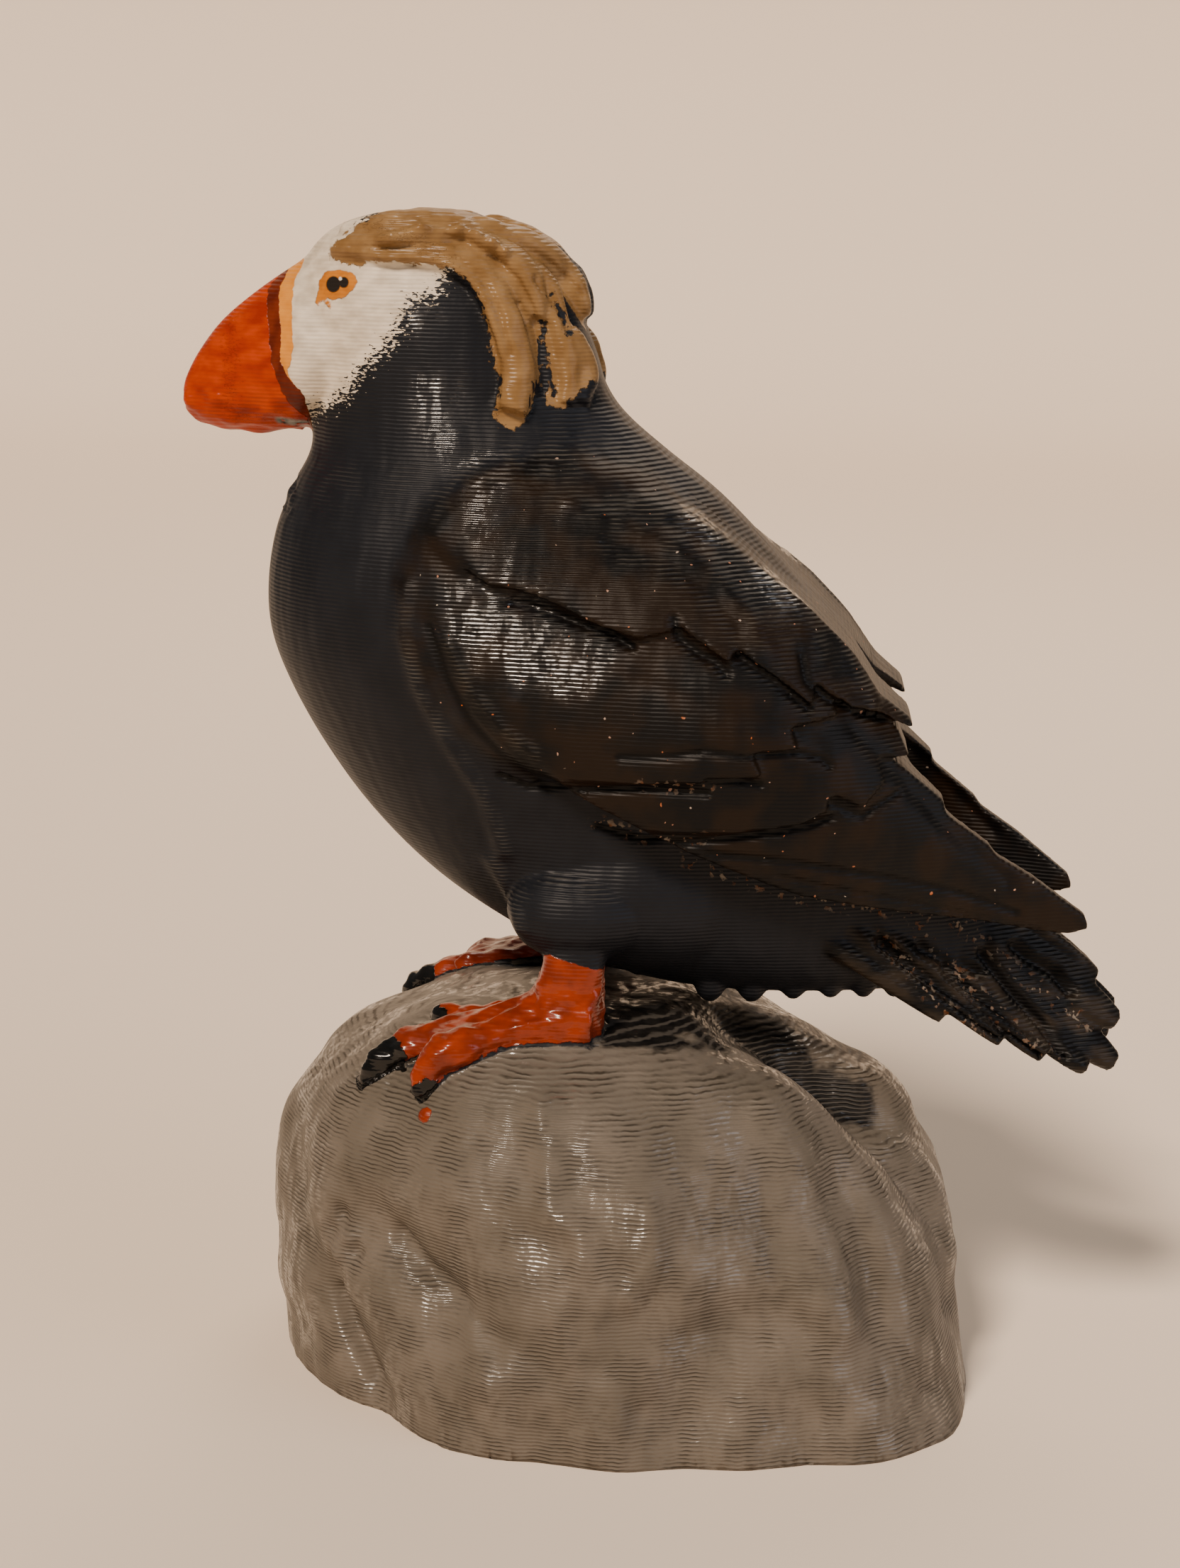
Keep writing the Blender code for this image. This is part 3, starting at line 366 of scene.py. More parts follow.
# %% [markdown]
# A folded wing is four overlapping layers of feathers. Each layer is drawn as a filled
# outline on the side view, cut into a fine grid by bisect planes, and extruded into a slab.
# Then the outer side is laid over the flank and lifted a little more than the layer below
# it, and the inner side goes into the body, or parts from its twin behind the rump.

# %% The folded wings
PRIMARIES = (
    (-4.0, 23.0), (5.8, 18.2), (10.5, 16.2), (16.3, 13.9), (23.7, 12.3), (32.3, 10.8),
    (38.2, 9.5), (40.9, 9.2), (42.5, 9.7), (42.1, 10.9), (37.2, 14.6), (33.7, 16.8),
    (33.1, 17.7), (29.1, 20.7), (28.8, 21.9), (25.2, 25.0), (16.0, 31.6), (4.0, 33.0),
)
SECONDARIES = (
    (-6.0, 24.5), (-1.0, 21.6), (3.0, 19.8), (10.4, 19.9), (16.1, 20.7), (18.5, 22.0),
    (18.8, 23.6), (21.6, 22.2), (23.4, 24.2), (22.6, 26.4), (25.6, 26.0), (24.6, 28.2),
    (21.0, 31.5), (13.0, 33.5), (2.0, 33.0),
)
COVERTS = (
    (-17.4, 43.6), (-18.5, 40.4), (-18.2, 37.4), (-17.0, 33.4), (-15.0, 29.7), (-12.3, 26.9),
    (-8.8, 24.7), (-5.4, 24.0), (1.7, 24.2), (8.3, 24.7), (12.8, 25.3), (11.8, 27.2),
    (15.8, 27.4), (15.2, 29.4), (19.2, 30.2), (17.6, 33.2), (9.0, 38.0), (-4.0, 41.5),
    (-12.0, 43.6),
)
SCAPULARS = (
    (-16.6, 44.8), (-13.7, 42.4), (-11.0, 40.7), (-8.7, 40.5), (-6.3, 39.8), (-3.8, 38.8),
    (-1.4, 37.6), (2.0, 36.8), (5.8, 37.6), (9.8, 34.8), (10.2, 36.0), (12.8, 34.2),
    (16.9, 31.2), (17.2, 33.0), (20.4, 30.6), (22.4, 30.2), (26.0, 28.2), (25.6, 29.2),
    (22.8, 31.4), (20.4, 34.8), (16.8, 38.4), (10.6, 43.6), (6.0, 46.8), (0.6, 50.6),
    (-6.0, 51.4), (-13.0, 48.0),
)
# outline, and its lift over the flank in front and behind
WING_LAYERS = ((PRIMARIES, -0.2, 0.3), (SECONDARIES, 0.3, 1.2), (COVERTS, 1.0, 2.2), (SCAPULARS, 2.0, 3.0))
SHOULDER = np.array((-18.0, 39.5))
WING_TIP = np.array((42.0, 10.0))
WING_THICKNESS = (3.4, 1.7)
WING_STATIONS = (-0.1, 0.0, 0.15, 0.28, 0.48, 0.585, 0.67, 0.75, 0.85, 1.0)
WING_WIDTHS = (17.4, 18.2, 19.6, 20.2, 19.4, 18.2, 16.4, 14.2, 11.4, 8.2)
WING_RISES = (16.0, 16.5, 18.5, 20.0, 17.0, 13.6, 11.5, 8.6, 7.6, 6.5)
WING_DROP = 27.0
WING_PARTING = 2.5
WING_PARTS = (0.52, 0.80)
WING_OVERLAP = 0.5
GRID_PITCH = 1.0


def smooth_step(value, low, high):
    """Soft step from 0 at low to 1 at high."""
    portion = min(max((value - low) / (high - low), 0.0), 1.0)
    return portion * portion * (3.0 - 2.0 * portion)


def wing_sides(x, z, front_lift, back_lift):
    """Distance of a wing layer's outer and inner side from the middle, at x and z."""
    axis = WING_TIP - SHOULDER
    out = np.array((x, z)) - SHOULDER
    portion = out @ axis / (axis @ axis)
    rise = (out[1] * axis[0] - out[0] * axis[1]) / np.linalg.norm(axis)
    reach = np.interp(portion, WING_STATIONS, WING_RISES) if rise > 0 else WING_DROP
    arch = np.interp(portion, WING_STATIONS, WING_WIDTHS) * math.sqrt(max(0.14, 1.0 - (rise / reach) ** 2))
    hit = body_tree.ray_cast(Vector((x, -90.0, z + SOLE)) * MM, Vector((0.0, 1.0, 0.0)))[0]
    if hit:
        flank = -hit.y / MM
    else:
        flank = -WING_PARTING * body_tree.find_nearest(Vector((x, 0.0, z + SOLE)) * MM)[3] / MM
    lift = front_lift + (back_lift - front_lift) * min(max(portion, 0.0), 1.0) ** 0.8
    outer = flank + smooth_step(portion, 0.05, 0.45) * (max(flank, arch) - flank) + lift
    thick = np.interp(portion, (0.3, 1.0), WING_THICKNESS)
    inner = (outer - thick + WING_OVERLAP) * smooth_step(portion, *WING_PARTS) - WING_OVERLAP
    return outer, inner


def wing_layer(outline, front_lift, back_lift):
    """One layer of the near wing, as a closed slab that hugs the flank."""
    bpy.ops.object.select_all(action="DESELECT")
    bpy.ops.mesh.primitive_circle_add(vertices=len(outline), radius=MM, fill_type="NGON")
    slab = bpy.context.object
    flat = np.array([(x, 0.0, z) for x, z in outline])
    slab.data.vertices.foreach_set("co", flat.ravel() * MM)
    bpy.ops.object.mode_set(mode="EDIT")
    for axis in ((1.0, 0.0, 0.0), (0.0, 0.0, 1.0)):
        spots = flat @ np.array(axis)
        for spot in np.arange(spots.min() + 0.5 * GRID_PITCH, spots.max(), GRID_PITCH):
            bpy.ops.mesh.select_all(action="SELECT")
            bpy.ops.mesh.bisect(plane_co=Vector(axis) * float(spot) * MM, plane_no=axis)
    bpy.ops.mesh.select_all(action="SELECT")
    bpy.ops.mesh.quads_convert_to_tris()
    bpy.ops.mesh.extrude_region_move(TRANSFORM_OT_translate={"value": (0.0, -MM, 0.0)})
    bpy.ops.object.mode_set(mode="OBJECT")
    for vert in slab.data.vertices:
        x, depth, z = vert.co / MM
        outer, inner = wing_sides(x, z, front_lift, back_lift)
        vert.co = Vector((x, -outer if depth < -0.5 else -inner, z + SOLE)) * MM
    face_outwards()
    return slab


wings = joined("wings", [wing_layer(*layer) for layer in WING_LAYERS], mirror=True)

# %% [markdown]
# The tail is a fan of flat feathers, seven to a side, and a keel between them that carries
# the fan. The feathers are swept with a squarish section, which leaves the real print's
# stepped edge where their ends lie side by side.

# %% Tail and belly scars
FEATHER_THICKNESS = 0.95
# root x, y, z, tip x, y, z, half breadth, lean in degrees
TAIL_FEATHERS = (
    (24.0, 0.4, 17.0, 44.2, 0.5, 2.8, 2.2, 40.0), (24.0, 2.2, 15.4, 46.2, 2.4, -0.7, 2.1, 50.0),
    (24.0, 4.2, 12.8, 46.0, 4.3, -4.1, 2.0, 54.0), (24.0, 6.2, 10.0, 43.2, 6.2, -4.2, 1.3, 40.0),
    (23.0, 7.6, 9.4, 39.2, 7.8, -2.6, 1.6, 10.0), (21.0, 8.6, 9.0, 35.3, 9.2, -0.8, 1.6, 4.0),
    (18.0, 9.0, 8.6, 29.8, 9.6, 1.4, 1.5, 0.0),
)
TAIL_KEEL = (20.0, 0.0, 10.5, 43.0, 0.0, -1.8, 4.6, 0.0)
# drops left hanging along the belly: x, y, z, radius
BELLY_SCARS = (
    (8.6, -7.6, 2.4, 1.3), (12.4, -7.2, 2.3, 1.2), (16.2, -6.8, 2.5, 1.1),
    (19.6, -6.6, 2.6, 1.0), (22.6, -6.4, 2.7, 1.0), (25.4, -6.6, 2.8, 0.9),
)


def tail_feather(root_x, root_y, root_z, tip_x, tip_y, tip_z, half_breadth, lean):
    """Flat feather of the near side's tail, blunt at its tip."""
    root = np.array([root_x, -root_y, root_z + SOLE])
    tip = np.array([tip_x, -tip_y, tip_z + SOLE])
    path = [(*(root + (tip - root) * portion), half_breadth * breadth,
             FEATHER_THICKNESS * (1.0 - 0.25 * portion))
            for portion, breadth in ((0.0, 0.8), (0.35, 1.0), (0.7, 1.0), (0.9, 0.85), (1.0, 0.45))]
    lean = math.radians(lean)
    return sweep("feather", path, breadth_axis=(0.0, -math.cos(lean), -math.sin(lean)),
                 squareness=3.4, count=24)


def belly_scar(x, y, z, radius):
    """Small drop hanging under the belly."""
    path = [(x, y, z + SOLE + rise * radius, wide * radius, wide * radius)
            for rise, wide in ((2.0, 0.6), (1.0, 1.1), (0.0, 1.0), (-0.7, 0.35))]
    return sweep("scar", path)


tail = joined("tail", [tail_feather(*row) for row in TAIL_FEATHERS + (TAIL_KEEL,)], mirror=True)
scars = joined("scars", [belly_scar(*row) for row in BELLY_SCARS], mirror=True)

# %% [markdown]
# Thigh, leg and webbed foot follow. The foot's top stays nearly level while the stone falls
# away below it, so a foot is a wedge: a grid laid out between heel and toes, extruded down
# into the stone. Each foot asks the boulder for its own height, and the two differ.

# %% Legs, feet and claws
THIGH_CENTRE = (0.8, 6.0, 12.6)
CUFF = (-3.4, 11.9, 10.8)  # centre of the feathers round the leg's top
CUFF_GIRTHS = ((-6.2, 0.15), (-4.8, 0.66), (-2.0, 0.95), (2.0, 0.95), (5.4, 0.66), (7.0, 0.15))
THIGH_REACH = (13.0, 9.2, 8.3)
LEG_TOP = (-3.2, 12.6, 9.4)
ANKLE = (-4.0, 13.3, 2.4)
LEG_HALF_LENGTHS = (3.0, 2.8, 3.3)
LEG_HALF_WIDTHS = (2.8, 2.6, 3.0)
TOES = (((-13.8, 10.8), (-16.8, 9.8)), ((-18.4, 13.4), (-22.4, 14.3)), ((-14.6, 17.8), (-16.8, 19.2)))
TOE_RADIUS = 1.9
TOE_SINK = 1.5
CLAW_RADIUS = 1.4
CLAW_RISE = 0.4
FOOT_STATIONS = (-22.0, -19.0, -14.6, -8.0, -4.0)
FOOT_LEVELS = (-2.8, -1.2, 0.7, 1.8, 2.8)
FOOT_CROWN = 0.03
WEB_THICKNESS = 0.9
FAR_FOOT_DROP = 0.8  # the far foot of the print came out a little lower
WEB_CELLS = 24


def foot_level(x, y):
    """Height of the foot's top at x and y, over the stone in any case."""
    level_there = np.interp(x, FOOT_STATIONS, FOOT_LEVELS) - FOOT_CROWN * (abs(y) - ANKLE[1]) ** 2
    drop = FAR_FOOT_DROP if y > 0.0 else 0.0
    return max(SOLE + float(level_there) - drop, stone_height(x, y) + WEB_THICKNESS)


def foot_web(side):
    """The mass of the foot between heel and toes, on one side of the bird."""
    bpy.ops.object.select_all(action="DESELECT")
    bpy.ops.mesh.primitive_grid_add(x_subdivisions=WEB_CELLS, y_subdivisions=WEB_CELLS, size=MM)
    web = bpy.context.object
    bpy.ops.object.mode_set(mode="EDIT")
    bpy.ops.mesh.select_all(action="SELECT")
    bpy.ops.mesh.extrude_region_move(TRANSFORM_OT_translate={"value": (0.0, 0.0, MM)})
    bpy.ops.object.mode_set(mode="OBJECT")
    heel = np.array(HEEL)
    rim = np.array([base for base, _ in TOES])
    for vert in web.data.vertices:
        length = vert.co.x / MM + 0.5
        place = min(max(2.0 * (vert.co.y / MM + 0.5), 0.0), 2.0)
        k = min(int(place), 1)
        start = heel[k] + (heel[k + 1] - heel[k]) * (place - k)
        end = rim[k] + (rim[k + 1] - rim[k]) * (place - k)
        x, y = start + (end - start) * length * (1.0 - 0.04 * math.sin(math.pi * (place - k)))
        top = vert.co.z > 0.5 * MM
        z = foot_level(x, side * y) if top else stone_height(x, side * y) - TOE_SINK
        vert.co = Vector((x, side * y, z)) * MM
    face_outwards()
    return web


def toe_rows(base, tip, side):
    """Paths of one toe and its claw."""
    ankle = np.array([ANKLE[0] - 1.0, side * ANKLE[1], SOLE + 1.6])
    base = np.array([base[0], side * base[1], foot_level(base[0], side * base[1]) - TOE_SINK])
    tip = np.array([tip[0], side * tip[1], stone_height(tip[0], side * tip[1]) + 0.4])
    middle = 0.5 * (ankle + base)
    middle[2] = foot_level(middle[0], middle[1]) - TOE_SINK
    up = np.array([0.0, 0.0, CLAW_RISE])
    toe = [(*ankle, 1.3 * TOE_RADIUS, 1.3 * TOE_RADIUS), (*middle, 1.1 * TOE_RADIUS, TOE_RADIUS),
           (*base, TOE_RADIUS, TOE_RADIUS),
           (*(base + 0.25 * (tip - base)), 0.6 * TOE_RADIUS, 0.6 * TOE_RADIUS)]
    claw = [(*(base - 0.2 * (tip - base)), 0.8 * CLAW_RADIUS, 0.8 * CLAW_RADIUS),
            (*(base + 0.2 * (tip - base) + up), CLAW_RADIUS, 1.1 * CLAW_RADIUS),
            (*(base + 0.65 * (tip - base) + up), 0.8 * CLAW_RADIUS, CLAW_RADIUS),
            (*tip, 0.4 * CLAW_RADIUS, 0.5 * CLAW_RADIUS)]
    return toe, claw


def leg(side):
    """Short leg from the thigh to the heel, nearly square where it meets the foot."""
    spots = (LEG_TOP, (ANKLE[0] + 0.5, ANKLE[1], 0.5 * (LEG_TOP[2] + ANKLE[2])), ANKLE,
             (ANKLE[0], ANKLE[1], -1.4))
    path = [(x, side * y, z + SOLE, LEG_HALF_WIDTHS[min(k, 2)], LEG_HALF_LENGTHS[min(k, 2)])
            for k, (x, y, z) in enumerate(spots)]
    return sweep("leg", path, squareness=3.4)


def thigh(side):
    """Rounded thigh, which the leg comes out of."""
    path = []
    for turn_share in np.linspace(-0.96, 0.96, 9):
        portion = math.sin(0.5 * math.pi * turn_share)
        girth = math.sqrt(1.0 - portion * portion)
        path.append((THIGH_CENTRE[0] + THIGH_REACH[0] * portion, side * THIGH_CENTRE[1],
                     THIGH_CENTRE[2] + SOLE - 0.22 * THIGH_REACH[0] * portion,
                     THIGH_REACH[1] * girth, THIGH_REACH[2] * girth))
    return sweep("thigh", path, sides=32, count=30)


foot_forms = []
claw_forms = []
for side in (-1.0, 1.0):
    foot_forms += [leg(side), foot_web(side)]
    for base, tip in TOES:
        toe, claw = toe_rows(base, tip, side)
        foot_forms.append(sweep("toe", toe))
        claw_forms.append(sweep("claw", claw))
cuffs = [sweep("cuff", [(x + CUFF[0], side * CUFF[1], SOLE + CUFF[2], 4.9 * girth, 4.6 * girth)
                        for x, girth in CUFF_GIRTHS], count=24) for side in (-1.0, 1.0)]
thighs = joined("thighs", [thigh(side) for side in (-1.0, 1.0)] + cuffs)
feet = joined("feet", foot_forms)
claws = joined("claws", claw_forms)

# %% [markdown]
# Before the forms are fused, each keeps a search tree. A point of the finished skin can then
# ask which form it grew from, and that is how the paint finds its place later: the orange
# stays on the feet and the tan on the tuft without a drawn mask.

# %% One skin
GRAIN = 0.30
TRIANGLES = 190000
parts = {"boulder": boulder, "body": body, "beak": beak, "tuft": tuft, "wings": wings,
         "tail": tail, "scars": scars, "thighs": thighs, "feet": feet, "claws": claws}
trees = {name: tree_of(thing) for name, thing in parts.items()}
puffin = joined("puffin_print", list(parts.values()))


def finish_modifier(thing, kind, **settings):
    """Add a modifier with its settings and apply it."""
    modifier = thing.modifiers.new(kind.lower(), kind)
    for key, value in settings.items():
        setattr(modifier, key, value)
    bpy.ops.object.modifier_apply(modifier=modifier.name)


finish_modifier(puffin, "REMESH", mode="VOXEL", voxel_size=GRAIN * MM, adaptivity=0.0)
finish_modifier(puffin, "SMOOTH", factor=0.5, iterations=2)
bpy.ops.object.mode_set(mode="EDIT")
bpy.ops.mesh.select_all(action="SELECT")
bpy.ops.mesh.separate(type="LOOSE")
bpy.ops.object.mode_set(mode="OBJECT")
islands = sorted(bpy.context.selected_objects, key=lambda thing: len(thing.data.vertices))
puffin = islands.pop()
for crumb in islands:
    bpy.data.objects.remove(crumb)
bpy.ops.object.select_all(action="DESELECT")
puffin.select_set(True)
bpy.context.view_layer.objects.active = puffin
puffin.name = "puffin_print"
print("skin has", len(puffin.data.polygons), "faces,", len(islands), "crumbs removed")

# %% [markdown]
# The real print carries relief that is finer than its forms: grooves where one row of
# feathers lies on the next, soft ridges over the shoulder, pits and wrinkles in the stone
# and blobs of thick paint. All of it is drawn as lines and spots with a width and a
# height, and each point of the skin is moved along its normal by the sum.

# %% Carving the skin
def waves(places, length, seed, count=14):
    """Smooth random field about as strong as 1, with hills about one length apart."""
    draw = np.random.default_rng(seed)
    ways = draw.normal(size=(count, 3))
    ways /= np.linalg.norm(ways, axis=1)[:, None]
    turns_per_mm = 2 * math.pi / (length * draw.uniform(0.7, 1.5, count))
    phases = draw.uniform(0.0, 2 * math.pi, count)
    return np.sin(places @ (ways * turns_per_mm[:, None]).T + phases).sum(axis=1) / math.sqrt(0.5 * count)


def line_distance(places, line):
    """Distance of many places to a bent line of points."""
    away = np.full(len(places), 1e9)
    for start, end in zip(line[:-1], line[1:]):
        away = np.minimum(away, segment_distance(places, start, end)[0])
    return away


def inside_distance(places, outline):
    """Distance to a closed outline on the side view, positive inside it."""
    closed = [*outline, outline[0]]
    away = line_distance(places, closed)
    inside = np.zeros(len(places), bool)
    for (ax, az), (bx, bz) in zip(closed[:-1], closed[1:]):
        crosses = (az > places[:, 1]) != (bz > places[:, 1])
        inside ^= crosses & (places[:, 0] < ax + (places[:, 1] - az) * (bx - ax) / (bz - az + 1e-12))
    return np.where(inside, away, -away)


def read_skin(thing):
    """Places in millimetres and normals of a mesh's points."""
    places = np.empty(len(thing.data.vertices) * 3)
    normals = np.empty(len(thing.data.vertices) * 3)
    thing.data.vertices.foreach_get("co", places)
    thing.data.vertex_normals.foreach_get("vector", normals)
    return places.reshape(-1, 3) / MM, normals.reshape(-1, 3)


def grown_from(places):
    """Distance in millimetres of each place to every form that it may have grown from."""
    return {name: np.array([tree.find_nearest(Vector(place * MM))[3] for place in places]) / MM
            for name, tree in trees.items()}


# lines on the wing's side view: points x, z, then half width and height
WING_LINES = (
    (((-17.1, 80.0), (-15.5, 77.8), (-13.3, 76.2), (-10.9, 75.0), (-7.4, 74.2)), 0.8, -0.2),
    (((-17.0, 79.8), (-16.4, 80.7), (-14.6, 82.5), (-12.2, 84.1), (-9.9, 85.1)), 1.3, 0.6),
    (((-9.0, 74.4), (-7.4, 74.2), (-4.3, 73.2), (-2.4, 72.5), (-0.5, 72.0), (1.5, 71.0)), 0.35, -0.6),
    (((5.0, 73.4), (5.4, 71.8), (7.1, 70.6), (8.6, 69.9), (9.6, 68.9)), 0.4, -0.45),
    (((10.6, 70.4), (12.0, 69.4), (13.6, 68.4), (15.1, 67.2), (16.7, 65.9)), 0.35, -0.4),
    (((15.9, 70.3), (16.4, 68.3), (18.2, 66.6), (20.9, 65.2), (23.2, 64.4)), 0.35, -0.35),
    (((-4.0, 82.0), (0.5, 80.9), (5.0, 79.2), (9.2, 76.2), (11.6, 73.4), (12.6, 71.2)), 1.1, 0.4),
    (((1.5, 82.6), (7.0, 80.4), (11.8, 77.0), (15.4, 73.2), (17.6, 70.4)), 0.9, 0.45),
    (((6.5, 82.2), (11.0, 79.4), (15.5, 75.4), (18.4, 72.0), (20.9, 68.4), (22.4, 66.0)), 0.7, 0.5),
    (((-1.0, 79.6), (4.0, 78.2), (8.0, 75.4), (10.4, 72.6)), 0.7, -0.25),
    (((4.5, 81.0), (9.6, 78.2), (13.8, 74.6), (16.0, 71.6)), 0.6, -0.3),
    (((0.6, 61.6), (4.4, 61.8), (7.4, 62.3)), 0.3, -0.35),
    (((7.8, 62.5), (11.2, 62.0), (15.7, 62.2), (18.0, 61.6), (18.7, 60.9)), 0.3, -0.35),
    (((-10.1, 58.7), (-7.4, 57.7), (-3.3, 58.2), (2.9, 58.8), (8.2, 58.6)), 0.3, -0.45),
    (((8.2, 59.8), (10.5, 59.8), (12.7, 59.4)), 0.3, -0.4),
    (((-1.6, 54.2), (2.7, 53.1), (8.3, 54.1), (13.2, 54.8), (17.4, 55.6), (19.1, 56.3)), 0.35, -0.45),
    (((18.8, 57.6), (21.6, 56.2), (22.9, 57.1), (24.7, 58.1)), 0.35, -0.35),
    (((8.3, 52.8), (14.4, 52.3), (18.3, 51.6), (23.8, 50.5), (29.8, 48.9), (35.9, 46.5)), 0.35, -0.3),
    (((14.5, 50.8), (19.9, 49.4), (25.9, 48.1), (31.9, 46.3), (38.0, 44.8)), 0.3, -0.25),
    (((-18.4, 75.0), (-18.6, 71.3), (-17.2, 66.5), (-14.9, 62.1), (-11.4, 56.5), (-9.9, 51.4)), 0.8, 0.5),
    (((-16.2, 72.0), (-14.6, 67.5), (-12.6, 64.0), (-9.4, 60.6), (-5.8, 57.5)), 0.5, -0.3),
    (((-14.4, 70.5), (-12.4, 66.6), (-9.8, 63.6), (-6.8, 61.4)), 0.5, 0.25),
    (((2.0, 68.4), (8.0, 66.2), (14.0, 64.6), (18.0, 62.6)), 0.6, -0.12),
    (((20.5, 64.0), (23.5, 61.0), (27.0, 57.0), (30.5, 53.5), (35.0, 49.5)), 0.6, -0.25),
    (((-11.0, 50.4), (-9.4, 47.5), (-8.2, 44.8)), 0.7, 0.5),
)
# gaps between the tail feathers, in the same way
TAIL_LINES = (
    (((24.0, 43.1), (27.7, 40.2), (31.4, 37.3), (35.2, 34.4)), 0.45, -1.1),
    (((30.1, 40.5), (32.9, 38.0), (35.7, 35.4), (38.9, 32.4)), 0.45, -1.1),
    (((33.4, 41.3), (35.8, 38.4), (39.1, 35.1), (41.2, 32.4)), 0.4, -0.9),
    (((27.7, 42.3), (30.6, 40.8), (33.4, 39.7)), 0.4, -0.7),
    (((36.5, 41.6), (38.0, 40.5), (40.2, 39.3), (41.8, 37.4)), 0.5, -0.9),
)
# strokes of the tuft on the side view, in the same way
TUFT_LINES = (
    (((-24.5, 103.9), (-19.0, 103.8), (-15.0, 103.0), (-12.4, 101.0), (-11.2, 98.4), (-10.2, 95.0)),
     0.35, -0.4),
    (((-22.0, 103.0), (-17.0, 103.0), (-14.0, 102.0), (-12.2, 99.4), (-11.0, 96.0), (-10.6, 92.0)), 0.5, 0.3),
    (((-12.0, 103.2), (-9.8, 101.2), (-8.4, 98.6), (-7.7, 95.4), (-7.3, 91.6)), 0.4, -0.5),
    (((-8.0, 101.4), (-6.4, 99.2), (-5.2, 97.2)), 0.35, -0.45),
    (((-18.0, 106.2), (-12.0, 105.4), (-7.6, 103.0), (-4.6, 100.0)), 0.35, -0.35),
)
# edges of the wing that run softly into the back and the breast
SOFT_EDGES = ((-8.8, 59.2), (-12.3, 61.4), (-15.0, 64.2), (-17.0, 67.9), (-18.2, 71.9), (-18.5, 74.9),
              (-17.4, 78.1), (-16.6, 79.3), (-13.0, 82.5), (-6.0, 85.9), (0.6, 85.1), (6.0, 81.3),
              (10.6, 78.1))
# lines on the boulder: points x, y, z, then half width and height
ROCK_LINES = (
    (((-18.0, -21.1, 17.8), (-15.1, -22.7, 15.2), (-11.7, -25.0, 13.2)), 1.0, -0.9),
    (((-16.0, -23.9, 15.5), (-13.5, -25.0, 12.6), (-11.0, -25.9, 10.4)), 2.6, 0.7),
    (((-24.1, -16.2, 10.2), (-22.7, -17.1, 6.7), (-20.7, -18.2, 3.3)), 0.8, -0.9),
    (((7.1, -27.7, 20.3), (5.4, -28.8, 16.8), (3.1, -29.1, 12.9), (1.3, -29.2, 10.3)), 2.2, -0.5),
    (((-5.4, -23.2, 30.8), (-4.0, -27.8, 23.2), (-1.3, -28.8, 21.0), (-0.3, -29.4, 16.7),
      (-2.0, -29.3, 12.8)), 1.5, 0.6),
    (((4.3, -27.7, 23.6), (4.8, -28.8, 19.4), (3.2, -29.3, 15.9)), 1.3, 0.5),
    (((-11.0, -25.8, 12.0), (-10.1, -26.8, 9.5), (-9.0, -28.1, 7.3)), 1.3, 0.5),
    (((11.0, -20.0, 29.0), (13.5, -22.5, 24.0), (15.5, -24.5, 18.0), (18.0, -26.0, 11.0)), 1.8, -0.45),
    (((14.0, -18.5, 29.5), (17.5, -20.5, 24.8), (20.0, -22.0, 19.0), (22.0, -24.0, 12.0)), 1.6, 0.5),
    (((18.5, -16.5, 28.0), (21.8, -18.6, 22.0), (23.6, -20.6, 17.2), (25.0, -22.0, 12.1)), 1.6, -0.6),
    (((15.6, -3.7, 28.5), (19.3, -4.0, 27.0), (22.6, -4.4, 25.2), (24.7, -4.2, 23.9)), 1.8, -0.8),
    (((26.5, -14.0, 24.0), (29.0, -12.0, 18.0), (31.5, -11.0, 10.0)), 1.4, -0.6),
)
# spots on the boulder: x, y, z, radius, height
ROCK_PITS = (
    (-24.1, -18.3, 18.4, 1.0, -1.0), (-25.1, -17.7, 16.6, 1.0, -0.7), (-23.1, -19.2, 16.5, 0.9, 0.5),
    (-22.3, -19.8, 15.5, 0.9, -0.8), (-24.1, -17.3, 12.8, 1.0, -1.0), (-24.0, -18.4, 14.6, 0.9, 0.5),
    (4.0, -28.5, 5.0, 1.4, -0.4), (12.0, -27.5, 7.5, 1.3, -0.3), (-4.0, -27.5, 8.0, 1.5, -0.3),
    (22.0, -2.0, 27.5, 2.6, 0.9), (25.5, -6.5, 22.5, 2.4, 0.8), (29.0, -3.0, 18.0, 2.6, 0.8),
    (27.0, 3.0, 23.5, 2.4, 0.6), (31.5, -7.0, 12.0, 2.8, 0.7), (-15.9, -20.6, 28.9, 0.7, 0.4),
)
# thick paint on the tuft: the ridge, and the blobs on it
PAINT_RIDGE = ((-21.7, 104.4), (-19.8, 104.7), (-18.2, 105.2), (-16.2, 105.2), (-14.6, 105.5),
               (-13.8, 105.2), (-13.0, 104.5), (-11.7, 104.0), (-10.9, 103.5))
PAINT_BLOBS = ((-18.1, 105.1, 0.55), (-14.9, 105.4, 0.6), (-13.4, 104.8, 0.5), (-12.0, 104.2, 0.55),
               (-10.9, 103.5, 0.5), (-20.6, 104.5, 0.4))

places = read_skin(puffin)[0]
soft = np.interp(line_distance(places[:, [0, 2]], SOFT_EDGES), (2.0, 4.4), (1.0, 0.0))
soft[np.abs(places[:, 1]) < 4.0] = 0.0
group = puffin.vertex_groups.new(name="soft")
for index in np.flatnonzero(soft):
    group.add([int(index)], float(soft[index]), "REPLACE")
finish_modifier(puffin, "SMOOTH", factor=0.6, iterations=220, vertex_group=group.name)
puffin.vertex_groups.remove(puffin.vertex_groups["soft"])

